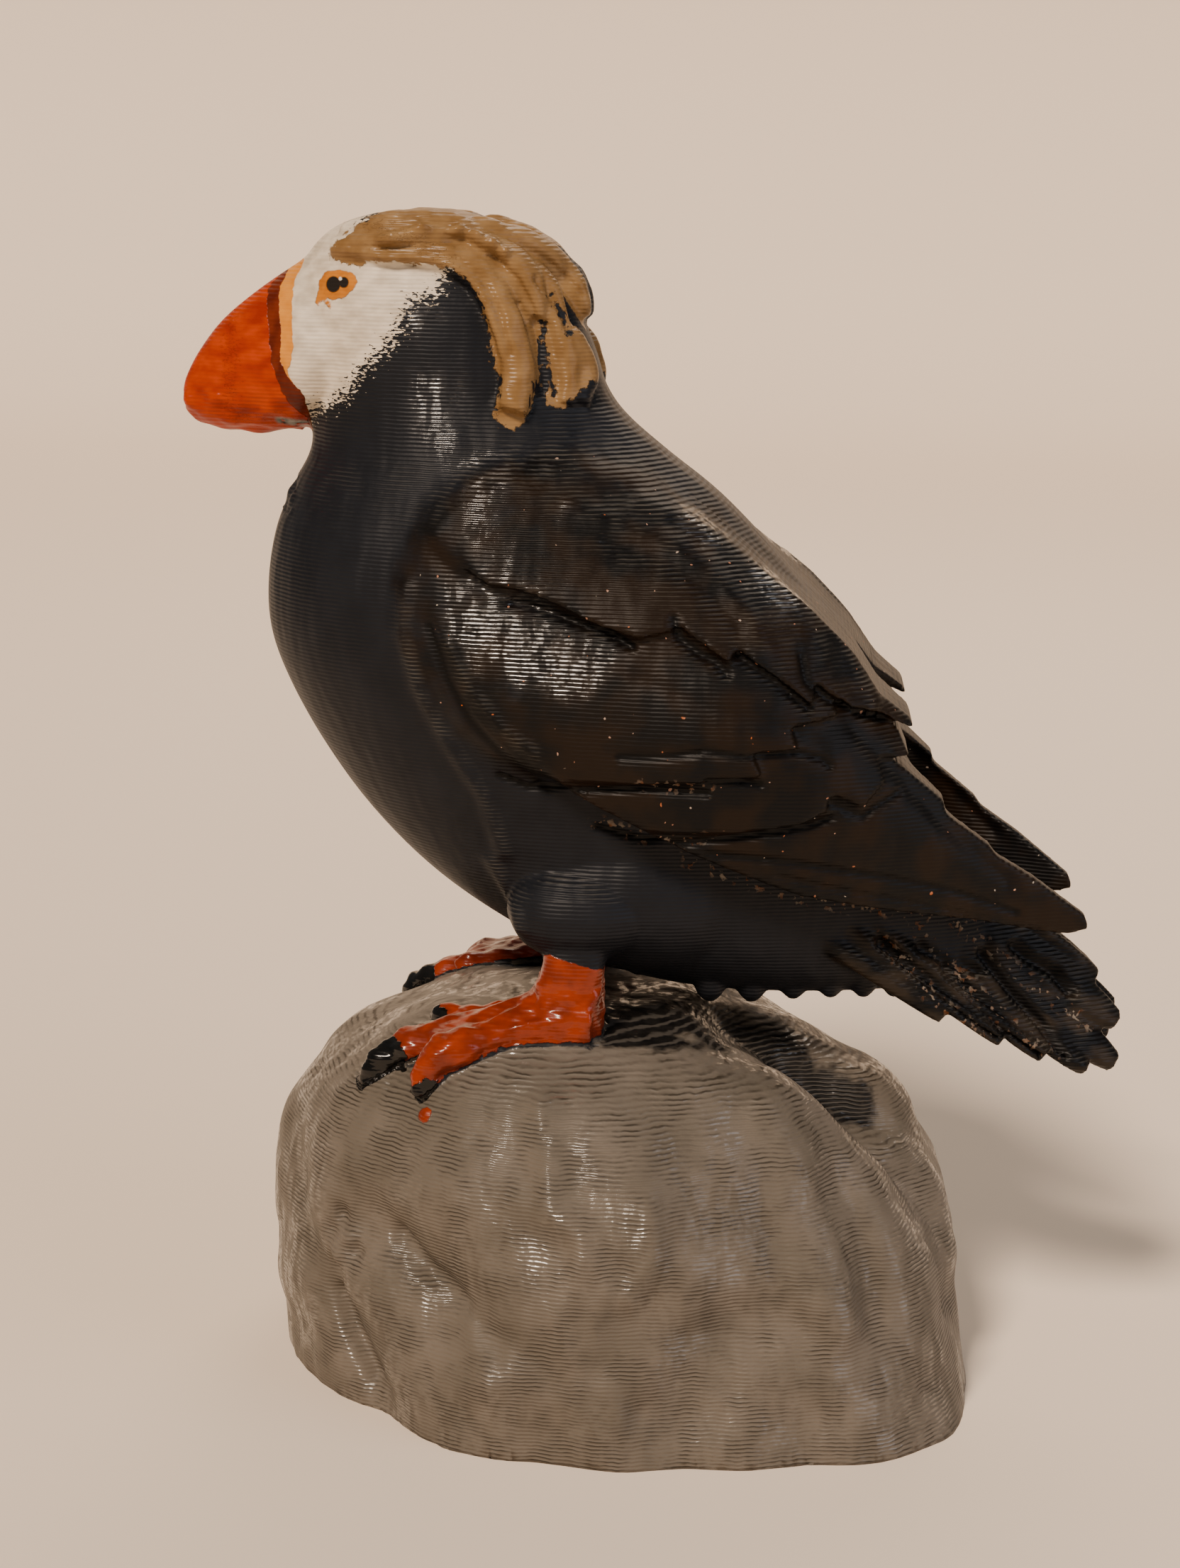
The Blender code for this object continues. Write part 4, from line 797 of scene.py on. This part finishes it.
places, normals = read_skin(puffin)
side_view = places[:, [0, 2]]
moved = np.zeros(len(places))
on_stone = np.array([trees["boulder"].find_nearest(Vector(p * MM))[3] for p in places]) < 0.45 * MM
bird = ~on_stone
flank = bird & (np.abs(places[:, 1]) > 7.0) & (side_view[:, 1] < 87.0) & (side_view[:, 1] > 42.0)
facing = np.clip(np.abs(normals[:, 1]) * 1.6, 0.0, 1.0)
for points, half_width, height in WING_LINES:
    away = line_distance(side_view[flank], points)
    moved[flank] += height * np.exp(-(away / half_width) ** 2) * facing[flank]
fan = bird & (np.abs(places[:, 1]) > 2.0) & (places[:, 0] > 22.0) & (places[:, 2] < 45.0)
for points, half_width, height in TAIL_LINES:
    away = line_distance(side_view[fan], points)
    moved[fan] += height * np.exp(-(away / half_width) ** 2) * facing[fan]
for points, half_width, height in ROCK_LINES:
    away = line_distance(places[on_stone], points)
    moved[on_stone] += height * np.exp(-(away / half_width) ** 2)
for x, y, z, radius, height in ROCK_PITS:
    away = np.linalg.norm(places[on_stone] - (x, y, z), axis=1)
    moved[on_stone] += height * np.exp(-(away / radius) ** 2)
head = bird & (places[:, 2] > 88.0)
for lowered, half_width, height in ((0.0, 0.42, 0.5), (0.85, 0.35, -0.35)):
    away = line_distance(side_view[head] + (0.0, lowered), PAINT_RIDGE)
    moved[head] += height * np.exp(-(away / half_width) ** 2) * facing[head]
for x, z, radius in PAINT_BLOBS:
    away = np.hypot(side_view[head][:, 0] - x, side_view[head][:, 1] - z)
    moved[head] += 0.9 * radius * np.exp(-(away / radius) ** 2) * facing[head]
for points, half_width, height in TUFT_LINES:
    away = line_distance(side_view[head], points)
    moved[head] += height * np.exp(-(away / half_width) ** 2) * facing[head]
on_tuft = np.flatnonzero(head)
on_tuft = on_tuft[[trees["tuft"].find_nearest(Vector(p * MM))[3] < 0.4 * MM for p in places[on_tuft]]]
under_beak = bird & (places[:, 0] < -30.0) & (places[:, 2] > 80.0) & (places[:, 2] < 90.4)
on_feet = bird & (places[:, 2] < 40.0) & (places[:, 0] < 2.0)
# where, height, length and seed of the uneven skin
UNEVEN = ((on_stone, 0.2, 10.0, 3), (on_stone, 0.05, 4.0, 4), (on_tuft, 0.06, 2.6, 5),
          (under_beak, 0.10, 2.0, 8), (on_feet, 0.09, 1.7, 6))
for where, height, length, seed in UNEVEN:
    moved[where] += height * waves(places[where], length, seed)
places += normals * moved[:, None]
puffin.data.vertices.foreach_set("co", places.ravel() * MM)
print("relief from", round(moved.min(), 2), "to", round(moved.max(), 2), "mm")

# %% [markdown]
# A skin this fine has twice the triangles that it needs. Decimate removes them where the
# form is calm and keeps them along edges. Then one cut makes the underside flat, and no
# point is left outside the box of the print's solid from model.glb.

# %% Thinning and the flat underside
finish_modifier(puffin, "DECIMATE", ratio=TRIANGLES / (2 * len(puffin.data.polygons)))
bpy.ops.object.mode_set(mode="EDIT")
bpy.ops.mesh.select_all(action="SELECT")
bpy.ops.mesh.bisect(plane_co=(0.0, 0.0, 0.0), plane_no=(0.0, 0.0, 1.0), use_fill=True, clear_inner=True)
bpy.ops.mesh.select_all(action="SELECT")
bpy.ops.mesh.quads_convert_to_tris()
bpy.ops.object.mode_set(mode="OBJECT")
places, normals = read_skin(puffin)
inset = 0.01
places = np.clip(places, np.array(cad_box[0]) / MM + inset, np.array(cad_box[1]) / MM - inset)
places[:, 2] = np.where(places[:, 2] < 0.02, 0.0, places[:, 2])
puffin.data.vertices.foreach_set("co", places.ravel() * MM)
puffin.data.update()
bpy.ops.object.shade_smooth()
print("print has", sum(len(face.vertices) - 2 for face in puffin.data.polygons), "triangles")

# %% [markdown]
# Paint follows the forms. For each point the distance to every form is measured, and a
# zone's edge value is how much nearer its own form is than all the others. Where the
# painter crossed the forms, as on the face, an outline on the side view gives the edge
# instead. Every value is in millimetres, positive inside, and kept as an attribute.

# %% Where each paint goes
FACE = ((-36.0, 88.4), (-36.0, 106.0), (-27.0, 108.0), (-24.0, 106.6), (-15.5, 103.0),
        (-16.1, 101.7), (-16.5, 100.3), (-17.1, 99.6), (-18.7, 99.4), (-19.3, 98.4),
        (-19.9, 97.0), (-21.0, 95.5), (-22.5, 93.9), (-23.6, 92.8), (-24.7, 91.3),
        (-25.9, 90.1), (-28.3, 89.3), (-29.2, 88.2))
TAN = ((-26.8, 103.0), (-26.2, 103.9), (-24.9, 104.9), (-23.2, 105.9), (-20.8, 108.0),
       (0.0, 110.0), (2.0, 97.0), (-1.0, 92.6), (-3.4, 92.4), (-4.6, 91.2), (-5.6, 90.2),
       (-6.6, 90.1), (-7.2, 91.6), (-8.0, 92.6), (-8.6, 89.8), (-9.3, 88.3), (-11.0, 88.5),
       (-11.4, 89.9), (-10.8, 92.5), (-11.7, 93.7), (-11.9, 95.3), (-12.4, 97.9),
       (-13.0, 99.9), (-14.2, 101.5),
       (-15.7, 102.2), (-18.2, 102.4), (-20.7, 102.6), (-22.6, 102.5), (-23.7, 102.2),
       (-25.6, 102.3))
SLITS = (((-7.6, 97.5), (-7.2, 94.8), (-6.5, 91.4)), ((-6.9, 100.0), (-6.1, 98.6), (-5.3, 96.7)))
EYE_RING = ((-27.6, 100.7), (-26.9, 101.6), (-25.5, 101.8), (-24.4, 101.6), (-23.7, 101.0),
            (-24.1, 100.1), (-25.4, 99.2), (-26.6, 99.1), (-27.4, 99.8))
EYE_DRIPS = (((-27.4, 99.7), (-27.6, 98.9)), ((-26.5, 99.2), (-26.5, 98.6)))
# x of an edge on the beak, told by z: behind the orange strip, between strip and maroon,
# and between maroon and red
STRIP_BACK = ((88.4, -28.8), (89.3, -28.7), (91.1, -29.0), (91.7, -29.8), (92.9, -30.3),
              (93.5, -30.0), (94.8, -29.7), (96.8, -29.9), (98.8, -30.1), (100.8, -30.1), (102.0, -29.6))
STRIP_FRONT = ((88.4, -28.8), (89.3, -28.7), (91.1, -29.0), (91.7, -29.8), (92.9, -30.6),
               (93.5, -31.0), (94.7, -30.9), (96.8, -31.1), (98.4, -31.4), (100.0, -31.5), (101.5, -31.1))
MAROON_FRONT = ((88.6, -29.0), (89.5, -30.0), (91.0, -31.0), (93.5, -31.8), (95.9, -32.1),
                (98.3, -32.6), (100.1, -32.8), (100.9, -32.0))
# black dabs of the claws: x, y, z, radius
CLAW_DABS = ((-20.6, -15.0, 31.9, 2.3), (-22.0, -15.0, 30.4, 2.0), (-16.0, -19.2, 30.2, 1.7),
             (-16.4, -10.2, 34.6, 1.6), (-20.6, 15.0, 31.9, 2.2), (-22.0, 15.0, 30.4, 2.0))
DRIP = (-15.9, -20.6, 28.9, 0.75)  # drop of orange that ran onto the stone under a claw
LEG_PAINT_TOP = 40.9  # height of the orange paint on the leg, at x = 0
GAPE = ((-31.6, 88.2), (-29.2, 87.9))
# outline on the stone under the belly, x and y: black paint run down from the bird, with painted shade of the
# belly over it
DARK_RUN_AND_SHADE = ((-2.0, -15.8), (3.9, -14.8), (9.0, -11.6), (12.0, -7.5), (18.0, -4.6), (22.5, -5.2), (24.6, -4.4),
          (23.0, -2.6), (18.5, -1.6), (15.0, 2.0), (12.0, 12.0), (0.0, 12.0), (-4.0, 6.0), (-3.0, -8.0))
# patches where the varnish is thick: x, y on either side, z, radius
VARNISH = (
    (-16.4, 10.2, 91.8, 2.2), (-15.8, 10.8, 88.0, 2.2), (-17.4, 9.6, 98.4, 1.6), (-12.5, 12.7, 84.4, 2.0),
    (-10.5, 16.4, 81.0, 3.0), (-6.5, 17.0, 79.0, 4.0), (-2.8, 17.2, 78.2, 2.6), (-12.4, 17.6, 73.4, 2.6),
    (-8.6, 18.5, 71.2, 4.0), (-4.0, 19.2, 69.3, 3.0), (14.0, 13.0, 76.0, 3.0), (8.0, 12.0, 82.0, 3.0),
)
# frayed edges that caught rust brown and grey, on the side view
SCAR_LINES = (
    ((5.9, 51.3), (10.6, 49.6), (16.2, 47.6), (22.2, 46.2), (27.5, 45.4), (32.5, 44.6), (38.0, 44.0)),
    ((2.7, 59.2), (8.2, 58.9)), ((-1.6, 54.7), (2.7, 53.3), (8.3, 54.5)),
    ((27.0, 44.0), (33.0, 38.0), (40.0, 32.0)), ((24.0, 43.5), (29.0, 38.0), (34.0, 34.5)),
    ((31.0, 44.0), (38.0, 38.5), (43.5, 34.5)),
)

near = grown_from(places)
side_view = places[:, [0, 2]]


def margin(*own):
    """How much nearer these forms are than all the others, in millimetres."""
    ours = np.min([near[name] for name in own], axis=0)
    others = np.min([near[name] for name in near if name not in own], axis=0)
    return others - ours


def edge_on(curve):
    """How far a place lies in front of an edge whose x is told by z."""
    heights, spots = np.array(curve).T
    return np.minimum(np.interp(places[:, 2], heights, spots) - places[:, 0], margin("beak") + 0.5)


tan = inside_distance(side_view, TAN)
stripe = np.abs(places[:, 1]) - 0.7 - 0.07 * (places[:, 0] + 15.0)
tan = np.minimum(tan, np.where(places[:, 0] > -15.0, stripe, 9.0))
# behind the head only the locks themselves are tan
tan = np.minimum(tan, np.where(places[:, 0] > -8.0, 0.9 - near["tuft"], 9.0))
for slit in SLITS:
    tan = np.minimum(tan, line_distance(side_view, slit) - 0.22)
ring = inside_distance(side_view, EYE_RING)
for drip in EYE_DRIPS:
    ring = np.maximum(ring, 0.28 - line_distance(side_view, drip))
on_flank = (np.abs(places[:, 1]) > 6.0) & (places[:, 2] > 42.0) & (places[:, 2] < 86.0)
on_flank |= (np.abs(places[:, 1]) > 2.0) & (places[:, 0] > 22.0)
# the near-black laid along these deep grooves is painted shade, where one row of feathers lies on the next
# and where the tail feathers part
deep_lines = [points for points, wide, height in WING_LINES + TAIL_LINES
              if wide <= 0.5 and height <= -0.3]
raised_lines = [points for points, wide, height in WING_LINES if wide <= 1.1 and height > 0.0]
carved, raised_edge = (-np.min([line_distance(side_view, points) for points in lines], axis=0)
                       for lines in (deep_lines, raised_lines))
claw_dabs = np.max([radius - np.linalg.norm((places - spot) * (1.0, 0.5, 1.0), axis=1)
                    for *spot, radius in CLAW_DABS], axis=0)
orange = np.minimum(margin("feet", "claws") - 0.35, LEG_PAINT_TOP - 0.3 * places[:, 0] - places[:, 2])
orange = np.maximum(orange, DRIP[3] - np.linalg.norm(places - DRIP[:3], axis=1))
folded = np.stack([places[:, 0], np.abs(places[:, 1]), places[:, 2]], axis=1)
zones = {
    "stone": margin("boulder"),
    "wing": margin("wings"),
    "tail": margin("tail"),
    "feet": orange,
    "claws": np.minimum(claw_dabs, margin("feet", "claws") + 0.2),
    "groove": np.where(on_flank, carved, -9.0),
    "ridge": np.where(on_flank, raised_edge, -9.0),
    "gape": -line_distance(side_view, GAPE),
    "face": inside_distance(side_view, FACE),
    "strip": edge_on(STRIP_BACK),
    "maroon": edge_on(STRIP_FRONT),
    "red": edge_on(MAROON_FRONT),
    "tan": tan,
    "eye_ring": ring,
    "varnish": np.max([radius - np.linalg.norm(folded - spot, axis=1) for *spot, radius in VARNISH], axis=0),
    "dark_run_and_shade": inside_distance(places[:, :2], DARK_RUN_AND_SHADE),
    "scar": -np.min([line_distance(side_view, line) for line in SCAR_LINES], axis=0),
}
for name, values in zones.items():
    layer = puffin.data.attributes.new(name, "FLOAT", "POINT")
    layer.data.foreach_set("value", values.astype(np.float32))
print("zones:", ", ".join(zones))

# %% [markdown]
# The finish is hobby paint over printed plastic: a dull acrylic, with gloss varnish over it
# in patches, which is the shader's own coat. Two things tell it from moulded plastic: the
# fine lines of the print's layers, which break up every highlight, and edges where one coat
# stops raggedly on the next. The material lays its coats in the painter's order, each with
# a colour, a roughness and a thickness.

# %% Paint helpers
def srgb(code):
    """Linear colour of an sRGB hex value."""
    parts_of_one = [int(code[i:i + 2], 16) / 255 for i in (1, 3, 5)]
    return (*[c / 12.92 if c <= 0.04045 else ((c + 0.055) / 1.055) ** 2.4 for c in parts_of_one], 1.0)


painted = bpy.data.materials.new("hobby_acrylic_on_printed_pla")
painted.use_nodes = True
tree = painted.node_tree
shader = tree.nodes["Principled BSDF"]


def add(kind, inputs=None, out=0, **settings):
    """Add a node with its settings, link or set its inputs, and hand back one output."""
    node = tree.nodes.new(kind)
    for key, value in settings.items():
        setattr(node, key, value)
    for key, value in (inputs or {}).items():
        if isinstance(value, bpy.types.NodeSocket):
            tree.links.new(value, node.inputs[key])
        else:
            node.inputs[key].default_value = value
    return node.outputs[out]


place = add("ShaderNodeVectorMath", {0: add("ShaderNodeTexCoord", out="Object"), 1: (1 / MM,) * 3},
            operation="MULTIPLY")
place_parts = add("ShaderNodeSeparateXYZ", {0: place}).node
print("material", painted.name)


# %% Noise, zone edges and coats
@functools.lru_cache(maxsize=None)
def speckle(per_mm, detail=3.0, stretch=(1.0, 1.0, 1.0), shift=0.0):
    """Cloudy pattern from 0 to 1, with so many clouds per mm; a second call shares the first's nodes."""
    spot = add("ShaderNodeMapping", {"Vector": place, "Location": (shift,) * 3, "Scale": stretch})
    return add("ShaderNodeTexNoise", {"Vector": spot, "Scale": per_mm, "Detail": detail})


def clouds(low, high, per_mm, detail=2.0, stretch=(1.0, 1.0, 1.0), shift=0.0, most=1.0):
    """Cover in patches: none where the cloudy pattern is under low, the most where it is over high."""
    return add("ShaderNodeMapRange", {"Value": speckle(per_mm, detail, stretch, shift),
                                      "From Min": low, "From Max": high, "To Max": most})


def along(name, low, high):
    """Cover along carved lines, which grows as the value kept with the skin goes from low to high."""
    value = add("ShaderNodeAttribute", out="Fac", attribute_name=name)
    return add("ShaderNodeMapRange", {"Value": value, "From Min": low, "From Max": high})


def within(first, *others):
    """Cover where all of these covers are, thinned by each."""
    for other in others:
        first = add("ShaderNodeMath", {0: first, 1: other}, operation="MULTIPLY")
    return first


def zone(name, ragged=0.0, per_mm=1.0, soft=0.06, stretch=(1.0, 1.0, 1.0)):
    """Cover of a coat from 0 to 1, with an edge that wanders by so many millimetres."""
    value = add("ShaderNodeAttribute", out="Fac", attribute_name=name)
    if ragged:
        cloud = speckle(per_mm, 3.0, stretch)
        wander = add("ShaderNodeMath", {0: cloud, 1: 0.5}, operation="SUBTRACT")
        value = add("ShaderNodeMath", {0: wander, 1: 2.0 * ragged, 2: value}, operation="MULTIPLY_ADD")
    return add("ShaderNodeMapRange", {"Value": value, "From Min": -soft, "From Max": soft},
               interpolation_type="SMOOTHSTEP")


def mottled(first, second, per_mm, low=0.35, high=0.65, stretch=(1.0, 1.0, 1.0), shift=0.0):
    """Two colours of one paint, mixed in clouds."""
    cloud = add("ShaderNodeMapRange", {"Value": speckle(per_mm, 2.0, stretch, shift),
                                       "From Min": low, "From Max": high})
    return add("ShaderNodeMix", {0: cloud, 6: srgb(first), 7: srgb(second)}, out=2, data_type="RGBA")


def coat(below, cover, colour, roughness, thickness=0.0):
    """Lay one coat of paint over what is there: its colour, its roughness and its height in mm."""
    return (add("ShaderNodeMix", {0: cover, 6: below[0], 7: colour}, out=2, data_type="RGBA"),
            add("ShaderNodeMix", {0: cover, 2: below[1], 3: roughness}),
            add("ShaderNodeMath", {0: cover, 1: thickness, 2: below[2]}, operation="MULTIPLY_ADD"))


# %% Patterns shared by the coats
LAYER = 0.36  # mm; the real ones are about 0.25, drawn coarser so that they show
WOBBLE = (0.15, 0.45)  # mm by which a layer wavers, on the bird and on the stone
on_rock = zone("stone", 0.25, 1.5, 0.12)
waver = add("ShaderNodeMix", {0: on_rock, 2: WOBBLE[0], 3: WOBBLE[1]})
wobble = add("ShaderNodeMath", {0: speckle(0.5, 2.0, shift=5.0), 1: waver, 2: place_parts.outputs[2]},
             operation="MULTIPLY_ADD")
turns_up = add("ShaderNodeMath", {0: wobble, 1: 2 * math.pi / LAYER}, operation="MULTIPLY")
beads = add("ShaderNodeMath", {0: turns_up}, operation="SINE")
crests = add("ShaderNodeMapRange", {"Value": beads, "From Min": 0.2, "From Max": 0.9})
facing_up = add("ShaderNodeSeparateXYZ", {0: add("ShaderNodeNewGeometry", out="Normal")}, out=2)
shallow = add("ShaderNodeMapRange", {"Value": facing_up, "From Min": 0.3, "From Max": 0.85})
on_rock_patches = within(on_rock, clouds(0.42, 0.54, 0.2, stretch=(1.0, 1.0, 0.6), shift=7.0))
patches = add("ShaderNodeMath", {0: zone("varnish", 2.5, 0.4, 1.2), 1: on_rock_patches}, operation="MAXIMUM")
shiny = within(patches, clouds(0.36, 0.52, 1.3, stretch=(1.0, 1.0, 2.6), shift=13.0),
               clouds(0.40, 0.52, 0.7, stretch=(1.6, 1.6, 0.5), shift=31.0))
DULL, UNDER_VARNISH = 0.45, 0.3  # roughness of the paint
gloss = add("ShaderNodeMix", {0: shiny, 2: DULL, 3: UNDER_VARNISH})
print(len(tree.nodes), "nodes of patterns")

# %% The bird's coats, from the first to the last
coats = (mottled("#14161b", "#191b20", 0.25), gloss, add("ShaderNodeMath", {0: 0.0, 1: 0.0}))
coats = coat(coats, zone("wing", 3.5, 0.3, 1.8),
             mottled("#090808", "#1a1007", 0.22, 0.42, 0.60, shift=3.0), gloss)
coats = coat(coats, zone("tail", 1.0, 0.4, 0.5),
             mottled("#090808", "#272019", 0.5, 0.45, 0.62, (0.5, 1.0, 1.0)), 0.4)
# light grey on the crests of the layer lines, along raised edges and on slopes that face up
edges = add("ShaderNodeMath", {0: along("ridge", -1.1, -0.1), 1: shallow}, operation="MAXIMUM")
pale_crests = within(edges, crests, clouds(0.40, 0.62, 0.5, 3.0, shift=17.0, most=0.4))
coats = coat(coats, pale_crests, srgb("#6b675f"), 0.55)
# painted shade: near-black in the carved grooves between rows of feathers and between tail feathers
coats = coat(coats, along("groove", -0.55, -0.15), srgb("#060505"), 0.45)
frayed = within(along("scar", -0.9, -0.1), clouds(0.58, 0.63, 1.6, shift=11.0))
coats = coat(coats, frayed, mottled("#5c3413", "#7d7468", 1.0), 0.5, 0.05)
specks = within(zone("wing"), clouds(0.835, 0.85, 2.0, 0.0, shift=21.0))
coats = coat(coats, specks, mottled("#a39c90", "#a8541c", 0.4), 0.5, 0.02)

# %% The stone's coats, and the black paint and painted shade under the belly
coats = coat(coats, on_rock, mottled("#6a6258", "#5e574d", 0.16), gloss)
# painted shade of the layer steps: dark lines along the stone's layers
beads_up = add("ShaderNodeMapRange", {"Value": beads, "From Min": 0.1, "From Max": 0.9})
layer_step_shade = within(on_rock, beads_up, clouds(0.42, 0.62, 0.35, 3.0, shift=19.0))
coats = coat(coats, layer_step_shade, srgb("#38322a"), 0.5)
# near-black under the belly: black paint run onto the stone, deepened as painted shade of the belly above it,
# with grey on the layer crests inside it
dark_run_and_shade = within(zone("dark_run_and_shade", 1.8, 0.4, 0.5), clouds(0.28, 0.40, 0.3, 3.0, shift=29.0), on_rock)
coats = coat(coats, dark_run_and_shade, mottled("#0d0c0c", "#1b1917", 0.6), 0.5)
coats = coat(coats, within(dark_run_and_shade, crests, 0.5), srgb("#5a554e"), 0.55)

# %% The bright coats of feet, face, beak and tuft
gape = within(along("gape", -0.5, -0.2), clouds(0.40, 0.48, 1.1, shift=23.0))
# cover, colour, roughness, thickness in mm
BRIGHT = (
    (zone("feet", 0.25, 1.5), mottled("#8c2b00", "#6c1e00", 0.5), 0.35, 0.06),
    (zone("claws", 0.6, 1.0), mottled("#050505", "#0e0c0a", 1.0), 0.22, 0.1),
    (zone("face", 3.2, 2.2, 0.12, (1.0, 1.0, 2.4)),
     mottled("#e2d5c0", "#c4b7a2", 0.5, stretch=(1.0, 1.0, 1.8)), 0.42, 0.05),
    (zone("strip", 0.25, 1.0), mottled("#dc9238", "#cf8128", 0.6), 0.36, 0.08),
    (zone("maroon", 0.3, 1.0), mottled("#70280e", "#551a08", 0.6), 0.36, 0.05),
    (zone("red", 0.35, 1.0), mottled("#b23900", "#902400", 0.35, stretch=(1.0, 1.0, 2.0)), 0.36, 0.06),
    (gape, mottled("#120a08", "#8f8a82", 0.9), 0.4, 0.0),
    (zone("tan", 0.8, 1.5, 0.1), mottled("#8f7049", "#7a5b35", 0.5), 0.3, 0.1),
    (zone("eye_ring", 0.2, 1.5), mottled("#c57a25", "#b3691a", 0.8), 0.36, 0.1),
)
for cover, colour, roughness, thickness in BRIGHT:
    coats = coat(coats, cover, colour, roughness, thickness)
print(len(tree.nodes), "nodes with the coats")


# %% Pupil and glint of the eye
def disc(x, z, radius):
    """Cover of a small round dab on the side view."""
    spot = add("ShaderNodeCombineXYZ", {0: place_parts.outputs[0], 2: place_parts.outputs[2]})
    away = add("ShaderNodeVectorMath", {0: spot, 1: (x, 0.0, z)}, out="Value", operation="DISTANCE")
    return add("ShaderNodeMapRange", {"Value": away, "From Min": radius + 0.05, "From Max": radius - 0.05})


pupil = add("ShaderNodeMath", {0: disc(-26.1, 100.5, 0.68), 1: disc(-25.1, 100.7, 0.46)}, operation="MAXIMUM")
coats = coat(coats, pupil, srgb("#25211e"), 0.3, 0.12)
coats = coat(coats, disc(-25.45, 101.0, 0.15), srgb("#e8e4dc"), 0.3, 0.05)

# %% [markdown]
# The printer laid the plastic down in layers. On a steep wall they show as fine beads, and
# on a shallow slope as terraces like the contour lines of a map, because one step up then
# takes a longer way. One wave along the height draws both, in the shader's bump, and the
# brush strokes and the grit of the pigment are added to it.

# %% Layer lines
BEAD = (0.013, 0.026)  # mm, on a dull wall and under varnish
ROCK_BEAD = 0.024
TERRACE = 0.038
UNDER_THICK_PAINT = 0.35  # share of a layer's height that the feet still show
STROKE = 0.22
GRIT = 0.014
steep = add("ShaderNodeMix", {0: patches, 2: BEAD[0], 3: BEAD[1]})
steep = add("ShaderNodeMath", {0: steep, 1: within(on_rock, ROCK_BEAD)}, operation="MAXIMUM")
step = add("ShaderNodeMix", {0: shallow, 2: steep, 3: TERRACE})
step = within(step, add("ShaderNodeMix", {0: zone("feet"), 2: 1.0, 3: UNDER_THICK_PAINT}))
height = coats[2]
strokes_up = speckle(0.45, 1.0, (1.0, 1.0, 0.35), 15.0)
for pattern, strength in ((beads, step), (strokes_up, STROKE), (speckle(2.2, 2.0, shift=9.0), GRIT)):
    height = add("ShaderNodeMath", {0: pattern, 1: strength, 2: height}, operation="MULTIPLY_ADD")
bump = add("ShaderNodeBump", {"Height": height, "Distance": MM, "Strength": 1.0})
tree.links.new(coats[0], shader.inputs["Base Color"])
tree.links.new(coats[1], shader.inputs["Roughness"])
tree.links.new(bump, shader.inputs["Normal"])

# %% Gloss varnish
# it lies over the dull paint in patches, and all over the thick paint of the feet
VARNISH_WEIGHT = (0.75, 0.5)
varnished = add("ShaderNodeMath", {0: within(shiny, VARNISH_WEIGHT[0]),
                                   1: within(zone("feet"), VARNISH_WEIGHT[1])}, operation="MAXIMUM")
tree.links.new(varnished, shader.inputs["Coat Weight"])
tree.links.new(bump, shader.inputs["Coat Normal"])
shader.inputs["Coat Roughness"].default_value = 0.13
shader.inputs["Coat IOR"].default_value = 1.5
shader.inputs["IOR"].default_value = 1.45
shader.inputs["Specular IOR Level"].default_value = 0.2  # dull pigment between the glossy patches
puffin.data.materials.clear()
puffin.data.materials.append(painted)
print(len(tree.nodes), "nodes")

# %% [markdown]
# The stage is a pale floor that curves up into a backdrop, so no horizon shows. A soft sun
# stands for the ceiling lamp above the camera: it lights floor and backdrop alike, and its
# broad disc breaks into dashes on the layer lines. Two weak lamps open the shadows.

# %% Stage, light and the last calls
bpy.ops.object.select_all(action="DESELECT")
bpy.ops.mesh.primitive_plane_add(size=1.6, location=(0.0, 0.1, 0.0))
floor = bpy.context.object
floor.name = "stage_floor"
bpy.ops.object.mode_set(mode="EDIT")
bpy.ops.mesh.select_all(action="DESELECT")
bpy.ops.object.mode_set(mode="OBJECT")
for edge in floor.data.edges:
    edge.select = all(floor.data.vertices[v].co.y > 0.0 for v in edge.vertices)
bpy.ops.object.mode_set(mode="EDIT")
bpy.ops.mesh.select_mode(type="EDGE")
for rise in (0.02, 0.06, 0.12, 0.2, 0.3, 1.0):
    bpy.ops.mesh.extrude_edges_move(TRANSFORM_OT_translate={"value": (0.0, max(0.1 - 0.3 * rise, 0.0), rise)})
bpy.ops.object.mode_set(mode="OBJECT")
bpy.ops.object.shade_smooth()
pale = bpy.data.materials.new("pale_card")
pale.use_nodes = True
pale.node_tree.nodes["Principled BSDF"].inputs["Base Color"].default_value = srgb("#ecdcc9")
pale.node_tree.nodes["Principled BSDF"].inputs["Roughness"].default_value = 0.8
floor.data.materials.append(pale)
# kind, place, power, size (an angle for the sun), tint
LAMPS = (("SUN", (-0.16, -0.37, 0.455), 4.2, math.radians(13.0), "#ffe9d4"),
         ("AREA", (0.55, -0.30, 0.30), 1.2, 0.4, "#e9efff"),
         ("AREA", (0.10, 0.45, 0.50), 0.8, 0.3, "#fff1e2"))
for kind, spot, power, size, tint in LAMPS:
    toward = (Vector((0.0, 0.0, 0.055)) - Vector(spot)).to_track_quat("-Z", "Y").to_euler()
    bpy.ops.object.light_add(type=kind, location=spot, rotation=toward)
    lamp = bpy.context.object.data
    setattr(lamp, "angle" if kind == "SUN" else "size", size)
    lamp.energy = power
    lamp.color = srgb(tint)[:3]
world = bpy.data.worlds.new("soft_room")
world.use_nodes = True
world.node_tree.nodes["Background"].inputs[0].default_value = srgb("#d8d2ca")
world.node_tree.nodes["Background"].inputs[1].default_value = 0.22
bpy.context.scene.world = world

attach(puffin, "root")
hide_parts(PRINT)
